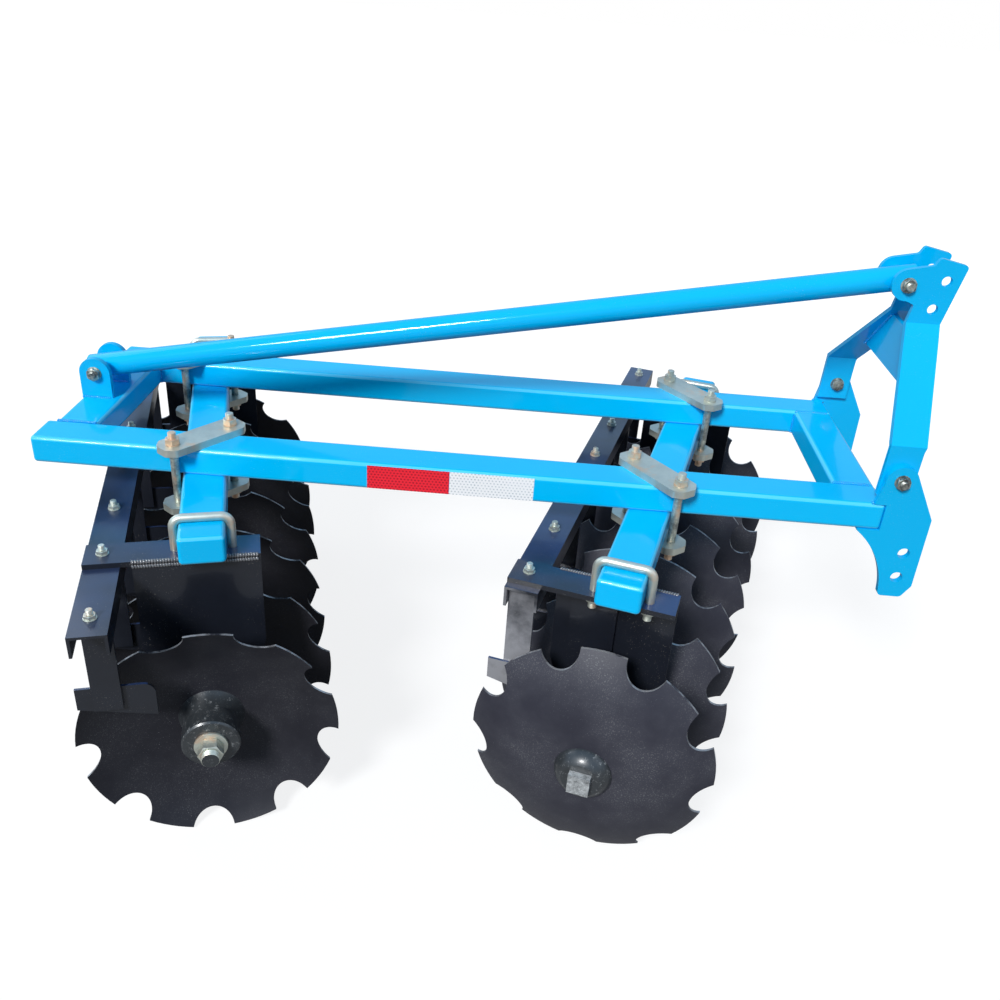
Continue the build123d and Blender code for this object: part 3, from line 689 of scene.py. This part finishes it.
def threaded_stud(radius, length, low=0.0, sides=18):
    """A stud whose thread is cut as one ridge, repeated and closed at both ends."""
    _, _, fittings = settings()
    count = max(2, round(length / fittings.thread_pitch))
    pitch = length / count
    deselect()
    bpy.ops.mesh.primitive_cylinder_add(
        vertices=sides, radius=radius, depth=pitch * 0.16, location=(0, 0, low + pitch / 2)
    )
    piece = bpy.context.object
    bpy.ops.object.transform_apply()
    pick_faces(piece, lambda middle, normal: abs(normal.z) > 0.9)
    bpy.ops.mesh.inset(thickness=pitch * 0.5, depth=pitch * 0.42, use_individual=True)
    bpy.ops.mesh.delete(type="FACE")
    leave_edit()
    apply_modifier(
        piece, "ARRAY", count=count, use_relative_offset=False, use_constant_offset=True,
        constant_offset_displace=(0, 0, pitch),
        use_merge_vertices=True, merge_threshold=pitch * 0.1,
    )
    bpy.ops.object.mode_set(mode="EDIT")
    bpy.ops.mesh.select_all(action="SELECT")
    bpy.ops.mesh.fill_holes(sides=0)
    bpy.ops.mesh.normals_make_consistent(inside=False)
    leave_edit()
    bpy.ops.object.shade_smooth_by_angle(angle=radians(20))
    return piece


def joined(pieces, name):
    """Makes one mesh of several, its place in the mesh."""
    deselect()
    for piece in pieces:
        piece.select_set(True)
    bpy.context.view_layer.objects.active = pieces[0]
    bpy.ops.object.transform_apply()
    if len(pieces) > 1:
        bpy.ops.object.join()
    made = bpy.context.object
    made.name = name
    made.data.name = name
    return made


def copies(blank, placings, name):
    """Copies one modelled shape to each placing and joins the copies into a piece."""
    made = []
    for placing in placings:
        deselect()
        blank.select_set(True)
        bpy.context.view_layer.objects.active = blank
        bpy.ops.object.duplicate()
        copy = bpy.context.object
        copy.matrix_world = placing
        made.append(copy)
    bpy.data.objects.remove(blank)
    return joined(made, name)


def finished(piece, body, finish, replaces=()):
    """Gives a piece its finish, parents it to its body and hides the nodes that it replaces."""
    piece.data.materials.clear()
    piece.data.materials.append(finish)
    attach(piece, body)
    if replaces:
        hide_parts(*replaces)


finishes = {}

# How many times paler than the settings a gang's discs are drawn: the front ones the paler.
disc_level = {"front": 4.6, "rear": 2.15}


class HARROW_OT_finish_nodes(bpy.types.Operator):
    """Gives every solid from the frame its finish"""

    bl_idname = "harrow.finish_nodes"
    bl_label = "Finish the solids"

    def execute(self, context):
        look, _, _ = settings()
        finishes["blue_paint"] = frame_blue_paint(look)
        # The box tubes' paint has the painted highlight on its rounded corners.
        tube_paint = frame_blue_paint(look, edges=0.40, shift=(1.0, 1.11, 1.0))
        for tube in ("rail_left", "rail_right", "cross_tube_front", "cross_tube_rear",
                     "gang_beam_front", "gang_beam_rear", "beam_caps", "rail_caps"):
            finishes[tube] = tube_paint
        finishes["zinc"] = zinc_plate(look)
        beyond = clamp_plate + 0.0002
        finishes["warm_zinc"] = zinc_plate(
            look, "zinc_warm_ends",
            warm_above=rail_top + beyond, warm_below=beam_bottom - beyond,
        )
        finishes["tarnished_zinc"] = zinc_plate(look, "zinc_tarnished", tarnish=0.92)
        finishes["black_paint"] = black_paint(look)
        # The front scrapers' paint has the painted sun sheen at their near end.
        painted_sheen_end = (scraper_stations[0] + 45) * mm
        rubbed = black_paint(look, "black_paint_painted_sheen", painted_sheen_end)
        finishes["scraper_beam_front"] = finishes["scrapers_front"] = rubbed
        for gang in ("front", "rear"):
            finishes[f"{gang}_discs"] = disc_paint(look, gang)
            casting = worn_casting(look, gang)
            for piece in ("axle", "end_washers", "spools"):
                finishes[f"{gang}_{piece}"] = casting
        slots = {part["node"]: part["material_slot"] for part in frame["record"]["subparts"]}
        for name, piece in frame["nodes"].items():
            piece.data.materials.clear()
            piece.data.materials.append(finishes.get(name) or finishes[slots[name]])
        return {"FINISHED"}


def bead(length, radius, pitch):
    """A weld bead along X: one tilted ripple, repeated."""
    deselect()
    bpy.ops.mesh.primitive_uv_sphere_add(
        segments=9, ring_count=6, radius=radius, rotation=(0, radians(28), 0),
        scale=(0.66, 1.0, 1.0),
    )
    piece = bpy.context.object
    bpy.ops.object.transform_apply()
    count = max(2, int(length / pitch))
    apply_modifier(
        piece, "ARRAY", count=count, use_relative_offset=False, use_constant_offset=True,
        constant_offset_displace=(length / count, 0, 0),
    )
    bpy.ops.object.shade_smooth()
    return piece


def bead_run(start, end, outward, share=1.0):
    """A bead from start to end, half sunk into the corner that outward points away from."""
    _, _, fittings = settings()
    run = (end - start).normalized()
    piece = bead((end - start).length, fittings.bead_radius * share, fittings.bead_pitch * share)
    away = Vector(outward)
    piece.matrix_world = standing(start, away - run * away.dot(run), run)
    return joined([piece], "bead")


def hanger_beads(gang):
    """Beads where the hanger plates meet their bars: along the bar's edge, above and below."""
    outward = -gang_axis[gang] * open_side[gang]
    over_bar = bar_bottom + (bar_thickness - 1) * mm
    runs = (
        (hanger_outer + 0.3, bar_bottom, outward + Vector((0, 0, -0.4))),
        (hanger_outer + 0.3, over_bar, outward + Vector((0, 0, 0.5))),
        (hanger_inner - 0.5, bar_bottom, -outward + Vector((0, 0, -1))),
    )
    return [
        bead_run(
            gang_spot(gang, along + edge, hanger_rear + 2, height),
            gang_spot(gang, along + edge, hanger_front - 2, height),
            away,
        )
        for along in bar_stations
        for edge, height, away in runs
    ]


def rail_bead(first, last, outward, share=0.9):
    """A bead between two places that are given as for rail_spot."""
    return bead_run(rail_spot(*first), rail_spot(*last), outward, share=share)


def side_beads(side):
    """The beads on one side of the frame: cross tubes, hitch plate, clevis ear and cross plate."""
    made = []
    inner = side * (frame_width / 2 - tube_width)
    for rear in (rear_cross_start, rail_length - tube_width):
        for station, ahead in ((rear, -1), (rear + tube_width, 1)):
            made.append(rail_bead((station, inner, -50), (station, inner, -5), (ahead, -side, 0)))
    for first, last in ((20, 96), (rail_length - 78, rail_length - 8)):
        made.append(rail_bead((first, inner, -0.8), (last, inner, -0.8), (0, 0, 1), 0.8))
    top = side * (frame_width - plate_thickness) / 2
    made.append(rail_bead((rail_length - 24, top, 0.5), (rail_length - 2, top, 0.5), (0, 0, 1)))
    flank = side * (frame_width / 2 - plate_thickness)
    edge = rail_length - 40
    made.append(rail_bead((edge, flank, -50), (edge + 12, flank, -6), (-1, -side, 0)))
    for ear_face, away in ((side * ear_inner, -side), (side * ear_outer, side)):
        made.append(rail_bead((20, ear_face, 0), (78, ear_face, 0), (0, away, 1)))
    for ahead, way in ((30, -1), (40, 1)):
        ends = [
            (rail_length + ahead, side * (ear_inner + (head_bottom - up) * strap_slant), up)
            for up in (cross_plate_low, cross_plate_high)
        ]
        made.append(rail_bead(*ends, (way, -side * 0.6, 0)))
    return made


class HARROW_OT_weld_beads(bpy.types.Operator):
    """Lays the weld beads on the frame, the mast, the hitch plates and the hangers"""

    bl_idname = "harrow.weld_beads"
    bl_label = "Weld beads"

    def execute(self, context):
        # The light grey of the black beads is a painted highlight on them.
        black = weld_seam("weld_black_painted_highlight", (0.26, 0.26, 0.27), (0.05, 0.05, 0.055), 0.6)
        blue = weld_seam("weld_blue", (0.0, 0.46, 0.95), (0.0, 0.30, 0.74), 0.5)
        hangers = joined(hanger_beads("front") + hanger_beads("rear"), "hanger_welds")
        finished(hangers, "frame", black)

        frame_welds = joined(side_beads(-1) + side_beads(1), "frame_welds")
        finished(frame_welds, "frame", blue)
        return {"FINISHED"}


def nut_on_washer(nut_low, washer_low):
    return [
        chamfered_hexagon(nut_flats, nut_height, low=nut_low),
        rounded_cylinder(washer_radius, washer_height, rod_edge, low=washer_low),
    ]


class HARROW_OT_clamps(bpy.types.Operator):
    """Makes the clamp rods with threads, washers and nuts where beams cross rails"""

    bl_idname = "harrow.clamps"
    bl_label = "Clamp rods"

    def execute(self, context):
        clamp_gap = 3
        rod_side = tube_width / 2 + rod_radius / mm + clamp_gap
        rail_middle = (frame_width - tube_width) / 2
        foot = beam_bottom - clamp_plate
        top = rail_top + clamp_plate
        placings = []
        for gang in ("front", "rear"):
            for side in (-1, 1):
                lead = -open_side[gang] * rod_side
                for left, ahead in ((-rod_side, lead), (rod_side, -lead)):
                    spot = clamp_rod_spot(gang, side * rail_middle + left, ahead)
                    placings.append(standing(spot, (0, 0, 1), gang_ahead[gang]))
        inset = 0.004
        shank = rounded_cylinder(rod_radius, top - foot - 2 * inset, rod_edge, low=foot + inset)
        parts = [shank]
        end_thread, plate_thread = 0.0245, 0.012
        for low, length in ((top, end_thread), (foot - 0.025, end_thread), (foot, plate_thread)):
            parts.append(threaded_stud(0.0077, length, low=low))
        parts += nut_on_washer(top + washer_height, top)
        parts += nut_on_washer(foot - washer_height - nut_height, foot - washer_height)
        rod = joined(parts, "clamp_rod")
        rods = copies(rod, placings, "clamp_rods_detailed")
        finished(rods, "frame", finishes["warm_zinc"], ["clamp_rods"])
        return {"FINISHED"}


class HARROW_OT_u_bolts(bpy.types.Operator):
    """Makes the U-bolts over the beam ends, bent from one rod"""

    bl_idname = "harrow.u_bolts"
    bl_label = "U-bolts"

    def execute(self, context):
        side_gap, top_gap, stud_length = 0.001, 0.0003, 0.014
        leg = tube_width / 2 * mm + side_gap + rod_radius
        crown = rail_top - tube_height * mm + rod_radius + top_gap
        corner = 0.016
        foot = bar_bottom - washer_height - nut_height - stud_length
        bare_low = foot + stud_length
        deselect()
        bpy.ops.mesh.primitive_circle_add(
            vertices=18, radius=rod_radius, fill_type="NOTHING", location=(leg, 0, bare_low)
        )
        piece = bpy.context.object
        bpy.ops.object.transform_apply()
        bpy.ops.object.mode_set(mode="EDIT")
        bpy.ops.mesh.select_mode(type="VERT")
        bpy.ops.mesh.select_all(action="SELECT")
        turns = (
            ((0, 0, crown - corner - bare_low), (leg - corner, 0, crown - corner)),
            ((2 * (corner - leg), 0, 0), (corner - leg, 0, crown - corner)),
        )
        for step, centre in turns:
            bpy.ops.mesh.extrude_region_move(TRANSFORM_OT_translate={"value": step})
            bpy.ops.mesh.spin(steps=7, angle=pi / 2, center=centre, axis=(0, 1, 0), dupli=False)
        bpy.ops.mesh.extrude_region_move(
            TRANSFORM_OT_translate={"value": (0, 0, bare_low - crown + corner)}
        )
        bpy.ops.mesh.select_all(action="SELECT")
        bpy.ops.mesh.remove_doubles(threshold=0.00005)
        bpy.ops.mesh.fill_holes(sides=0)
        bpy.ops.mesh.normals_make_consistent(inside=False)
        leave_edit()
        bpy.ops.object.shade_smooth_by_angle(angle=radians(40))
        parts = [piece]
        for side in (-1, 1):
            washer_low = bar_bottom - washer_height
            for fitting in (
                threaded_stud(0.0078, stud_length + 0.0005, low=foot),
                *nut_on_washer(washer_low - nut_height, washer_low),
            ):
                fitting.matrix_world = Matrix.Translation((side * leg, 0, 0))
                parts.append(joined([fitting], "fitting"))
        bent = joined(parts, "u_bolt")
        placings = [
            standing(gang_spot(gang, along - shift, 0, 0), (0, 0, 1), gang_ahead[gang])
            for gang, shift in (("front", rod_radius / mm), ("rear", 0))
            for along in bar_stations
        ]
        bolts = copies(bent, placings, "u_bolts_bent")
        finished(bolts, "frame", finishes["zinc"], ["u_bolts"])
        return {"FINISHED"}


def through_bolt(radius, grip, flats, name):
    """A bolt along Z: its head below 0, its washers, nut and stud end above the grip."""
    head = flats * 0.36
    parts = [
        rounded_cylinder(radius, grip, 0.0002, sides=24),
        threaded_stud(radius * 0.97, 0.0065, low=grip + washer_height + head - 0.0005),
    ]
    for washer_low, head_low in (
        (-washer_height, -washer_height - head),
        (grip, grip + washer_height),
    ):
        parts.append(rounded_cylinder(flats * 0.62, washer_height, 0.0004, low=washer_low))
        parts.append(chamfered_hexagon(flats, head, low=head_low))
    return joined(parts, name)


class HARROW_OT_cross_bolts(bpy.types.Operator):
    """Makes the cross bolts of the brace and of the mast straps"""

    bl_idname = "harrow.cross_bolts"
    bl_label = "Cross bolts"

    def execute(self, context):
        bolt_flats = 0.0235
        clevis_bolt = (49, ear_outer, 52)
        head_bolt = (rail_length + 7, head_outer, 358)
        foot_bolt_station, foot_bolt_height = rail_length + 16, 50
        made = []
        for station, outer, height in (clevis_bolt, head_bolt):
            bolt = through_bolt(rod_radius, 2 * outer * mm, bolt_flats, "brace_bolt")
            placing = standing(rail_spot(station, outer, height), (0, -1, 0), (1, 0, 0))
            made.append(copies(bolt, [placing], "brace_bolt"))
        pins = joined(made, "brace_bolts_detailed")
        finished(pins, "frame", finishes["tarnished_zinc"], ["brace_bolts"])
        grip = (plate_thickness + strap_thickness) * mm
        bolt = through_bolt(rod_radius, grip, bolt_flats, "strap_bolt")
        placings = [
            standing(
                rail_spot(foot_bolt_station, side * strap_inner, foot_bolt_height),
                (0, side, 0), (1, 0, 0),
            )
            for side in (-1, 1)
        ]
        feet = copies(bolt, placings, "strap_bolts_detailed")
        finished(feet, "frame", finishes["tarnished_zinc"], ["strap_bolts"])
        return {"FINISHED"}


class HARROW_OT_scraper_bolts(bpy.types.Operator):
    """Bolts each scraper arm up through its beam, and the bars with the outer ones"""

    bl_idname = "harrow.scraper_bolts"
    bl_label = "Scraper bolts"

    def execute(self, context):
        wall, arm = 5 * mm, 8 * mm
        made = []
        for thickness, stations in (
            (0.0, [s for s in scraper_stations if s not in bar_stations]),
            (bar_thickness * mm, bar_stations),
        ):
            grip = wall + arm + thickness
            bolt = through_bolt(0.006, grip, 0.018, "scraper_bolt")
            stud = threaded_stud(0.0058, 0.004, low=grip + 0.0140)
            bolt = joined([bolt, stud], "scraper_bolt")
            placings = [
                standing(
                    gang_spot(gang, along, scraper_ahead, bar_bottom - wall - arm),
                    (0, 0, 1), gang_ahead[gang],
                )
                for gang in ("front", "rear")
                for along in stations
            ]
            made.append(copies(bolt, placings, "scraper_bolts"))
        bolts = joined(made, "scraper_bolts")
        finished(bolts, "frame", finishes["zinc"])
        return {"FINISHED"}


class HARROW_OT_axle_ends(bpy.types.Operator):
    """Makes the nuts, washers and threads at the axle ends"""

    bl_idname = "harrow.axle_ends"
    bl_label = "Axle ends"

    def execute(self, context):
        disc_thickness = 5
        nut_end = hub_stations[-1] + disc_thickness + end_spool_length
        for gang in ("front", "rear"):
            outward = -gang_axis[gang] * open_side[gang]
            start = gang_spot(gang, nut_end, -axle_set_back, gang_joint[gang].z)
            thickness = 0.006
            parts = [
                rounded_cylinder(0.030, thickness, 0.0012, sides=40),
                chamfered_hexagon(0.040, 0.024, low=thickness),
                threaded_stud(0.0161, 0.0120, low=0.0297, sides=28),
            ]
            nut = joined(parts, f"{gang}_axle_nut_blank")
            nut = copies(nut, [standing(start, outward, (0, 0, 1))], f"{gang}_axle_nut_detailed")
            finished(nut, f"{gang}_gang", finishes["zinc"], [f"{gang}_axle_nut"])
        return {"FINISHED"}


class HARROW_OT_bearing_fittings(bpy.types.Operator):
    """Adds the flange bolts, seal rings and grease nipples of the bearings"""

    bl_idname = "harrow.bearing_fittings"
    bl_label = "Bearing fittings"

    def execute(self, context):
        bolt_circle, bolt_turns = 0.049, (0.7, 2.44, 3.84, 5.58)
        up = Vector((0, 0, 1))
        housing_end = hanger_inner - housing_length
        housing_middle = hanger_inner - housing_length / 2
        ring_places, nipple_places, bolt_places = [], [], []
        for gang in ("front", "rear"):
            outward = -gang_axis[gang] * open_side[gang]
            height = gang_joint[gang].z
            for along in bar_stations:
                middle, plate, inner = [
                    gang_spot(gang, along + end, -axle_set_back, height)
                    for end in (housing_middle, hanger_outer, housing_end)
                ]
                nipple_places.append(standing(middle, up, gang_ahead[gang]))
                for end, way in ((plate, outward), (inner, -outward)):
                    ring_places.append(standing(end, way, up))
                for turn in bolt_turns:
                    reach = (gang_ahead[gang] * cos(turn) + up * sin(turn)) * bolt_circle
                    bolt_places.append(standing(plate + reach, outward, up))
        deselect()
        bpy.ops.mesh.primitive_cylinder_add(
            vertices=40, radius=0.0345, depth=0.002, end_fill_type="NOTHING",
            location=(0, 0, 0.0005),
        )
        ring = bpy.context.object
        bpy.ops.object.transform_apply()
        apply_modifier(ring, "SOLIDIFY", thickness=0.004, offset=-1.0)
        apply_modifier(ring, "BEVEL", width=0.0006, segments=2)
        bpy.ops.object.shade_smooth_by_angle(angle=radians(40))
        rings = copies(ring, ring_places, "bearing_seals")
        finished(rings, "frame", greased_seal())
        nipple = joined(
            [
                chamfered_hexagon(0.009, 0.005, low=0.0535),
                rounded_cylinder(0.0026, 0.006, 0.0008, sides=14, low=0.0580),
                rounded_cylinder(0.0034, 0.0035, 0.0012, sides=14, low=0.0635),
            ],
            "nipple",
        )
        nipples = copies(nipple, nipple_places, "grease_nipples")
        finished(nipples, "frame", finishes["zinc"])
        head = joined(
            [
                rounded_cylinder(0.0085, 0.0015, 0.0004, sides=24),
                chamfered_hexagon(0.013, 0.0055, low=0.0012),
            ],
            "head",
        )
        heads = copies(head, bolt_places, "bearing_bolts")
        finished(heads, "frame", finishes["zinc"])
        return {"FINISHED"}


class HARROW_OT_tape(bpy.types.Operator):
    """Lays the red and white reflective tape on the outer faces of both rails"""

    bl_idname = "harrow.tape"
    bl_label = "Reflective tape"

    def execute(self, context):
        look, _, fittings = settings()
        thickness = fittings.tape_thickness
        seam, sunk = 0.3, 0.00005
        made = []
        for side in (-1, 1):
            for first, last in ((tape_rear, tape_joint - seam), (tape_joint + seam, tape_front)):
                deselect()
                middle = rail_spot((first + last) / 2, side * frame_width / 2, -tube_height / 2)
                middle.y = middle.y + side * (thickness / 2 - sunk)
                bpy.ops.mesh.primitive_cube_add(
                    size=1.0, location=middle,
                    scale=((last - first) * mm, thickness, tape_height * mm),
                )
                strip = bpy.context.object
                bpy.ops.object.transform_apply()
                bpy.ops.object.mode_set(mode="EDIT")
                bpy.ops.mesh.select_all(action="SELECT")
                bpy.ops.mesh.bevel(offset=thickness * 0.3, segments=2)
                leave_edit()
                made.append(strip)
        strips = joined(made, "reflective_tape")
        finished(strips, "frame", reflective_tape(look))
        return {"FINISHED"}


# The camera that was fitted to the photo: its place in metres, its turns in radians
camera_place = (0.11145, -1.8399, 1.5029)
camera_turn = -0.0140
camera_dip = 0.5101
camera_roll = 0.0738
sensor_width = 36.0
focal_share = 0.96825

lit_point = Vector((0, 0, 0.4))


class HARROW_OT_stage(bpy.types.Operator):
    """Adds the camera, the pale floor and the studio lamps"""

    bl_idname = "harrow.stage"
    bl_label = "Stage"

    def execute(self, context):
        _, stage, _ = settings()
        deselect()
        level = Vector((sin(camera_turn), cos(camera_turn), 0))
        forward = level * cos(camera_dip) - Vector((0, 0, sin(camera_dip)))
        right = Vector((level.y, -level.x, 0))
        up = right.cross(forward)
        rolled_right = cos(camera_roll) * right + sin(camera_roll) * up
        rolled_up = -sin(camera_roll) * right + cos(camera_roll) * up
        turned = Matrix((rolled_right, rolled_up, -forward)).transposed().to_4x4()
        bpy.ops.object.camera_add()
        camera = context.object
        camera.matrix_world = Matrix.Translation(camera_place) @ turned
        camera.data.sensor_width = sensor_width
        camera.data.lens = sensor_width * focal_share
        context.scene.camera = camera

        bpy.ops.mesh.primitive_plane_add(size=60.0, location=(0, 0, 0))
        floor = context.object
        floor.name = "floor"
        tree = NodeTree("pale_floor")
        direct = tree.node("ShaderNodeLightPath", output="Is Camera Ray")
        mirrored = tree.node("ShaderNodeLightPath", output="Is Glossy Ray")
        x, y, _ = tree.coordinates()
        far = (x * x + y * y).root().rising(1.2, 0.4)
        diffuse = tree.node("ShaderNodeBsdfDiffuse", inputs={"Color": tuple(stage.floor_colour)})
        glow = direct * (far * 0.16 + 0.84) + mirrored * stage.floor_glare
        bright = tree.mix(glow, (0.0, 0.0, 0.0), (1.0, 1.0, 1.0))
        shown = tree.node("ShaderNodeEmission", inputs={"Color": bright, "Strength": 1.0})
        both = tree.node("ShaderNodeAddShader", inputs=[diffuse, shown])
        tree.node("ShaderNodeOutputMaterial", inputs={"Surface": both})
        floor.data.materials.append(tree.owner)

        for kind, place, size, power in (
            ("SUN", (-1.5, -3.1, 3.2), radians(14), stage.sun_strength),
            ("AREA", (2.8, -1.8, 2.6), 2.4, stage.fill_power * 0.3),
            ("AREA", (-3.2, 1.4, 2.6), 3.0, stage.fill_power),
        ):
            bpy.ops.object.light_add(type=kind, location=place)
            lamp = context.object
            if kind == "SUN":
                lamp.data.angle = size
            else:
                lamp.data.size = size
            lamp.data.energy = power
            aim = lit_point - Vector(place)
            lamp.rotation_euler = aim.to_track_quat("-Z", "Y").to_euler()
        sky = NodeTree("studio", bpy.data.worlds)
        context.scene.world = sky.owner
        camera_ray, transmission_ray, glossy_ray = [
            sky.node("ShaderNodeLightPath", output=f"Is {kind} Ray")
            for kind in ("Camera", "Transmission", "Glossy")
        ]
        seen = camera_ray.at_least(transmission_ray)
        height = sky.coordinates("Generated")[2]
        dome = sky.ramp(height, ((0.0, stage.horizon_colour), (0.45, stage.sky_colour)))
        strength = seen.at_least(glossy_ray) * (1.0 - stage.sky_strength) + stage.sky_strength
        background = sky.node(
            "ShaderNodeBackground",
            inputs={"Color": sky.mix(seen, dome, (1.0, 1.0, 1.0)), "Strength": strength},
        )
        sky.node("ShaderNodeOutputWorld", inputs={"Surface": background})
        context.scene.view_settings.view_transform = "Standard"
        return {"FINISHED"}


steps = (
    "stage",
    "finish_nodes",
    "weld_beads",
    "clamps",
    "u_bolts",
    "cross_bolts",
    "scraper_bolts",
    "axle_ends",
    "bearing_fittings",
    "tape",
)


class HARROW_PT_panel(bpy.types.Panel):
    """Lists the harrow's steps"""

    bl_label = "Disc harrow"
    bl_idname = "HARROW_PT_panel"
    bl_space_type = "VIEW_3D"
    bl_region_type = "UI"
    bl_category = "Disc harrow"

    def draw(self, context):
        for step in steps:
            self.layout.operator(f"harrow.{step}")


classes = (
    HarrowLook,
    HarrowFittings,
    StageSettings,
    HARROW_OT_stage,
    HARROW_OT_finish_nodes,
    HARROW_OT_weld_beads,
    HARROW_OT_clamps,
    HARROW_OT_u_bolts,
    HARROW_OT_cross_bolts,
    HARROW_OT_scraper_bolts,
    HARROW_OT_axle_ends,
    HARROW_OT_bearing_fittings,
    HARROW_OT_tape,
    HARROW_PT_panel,
)


def register():
    for entry in classes:
        bpy.utils.register_class(entry)
    bpy.types.Scene.harrow_look = PointerProperty(type=HarrowLook)
    bpy.types.Scene.harrow_fittings = PointerProperty(type=HarrowFittings)
    bpy.types.Scene.harrow_stage = PointerProperty(type=StageSettings)


def unregister():
    del bpy.types.Scene.harrow_stage
    del bpy.types.Scene.harrow_fittings
    del bpy.types.Scene.harrow_look
    for entry in reversed(classes):
        bpy.utils.unregister_class(entry)


def main():
    register()
    for step in steps:
        getattr(bpy.ops.harrow, step)()


if __name__ == "__main__":
    main()
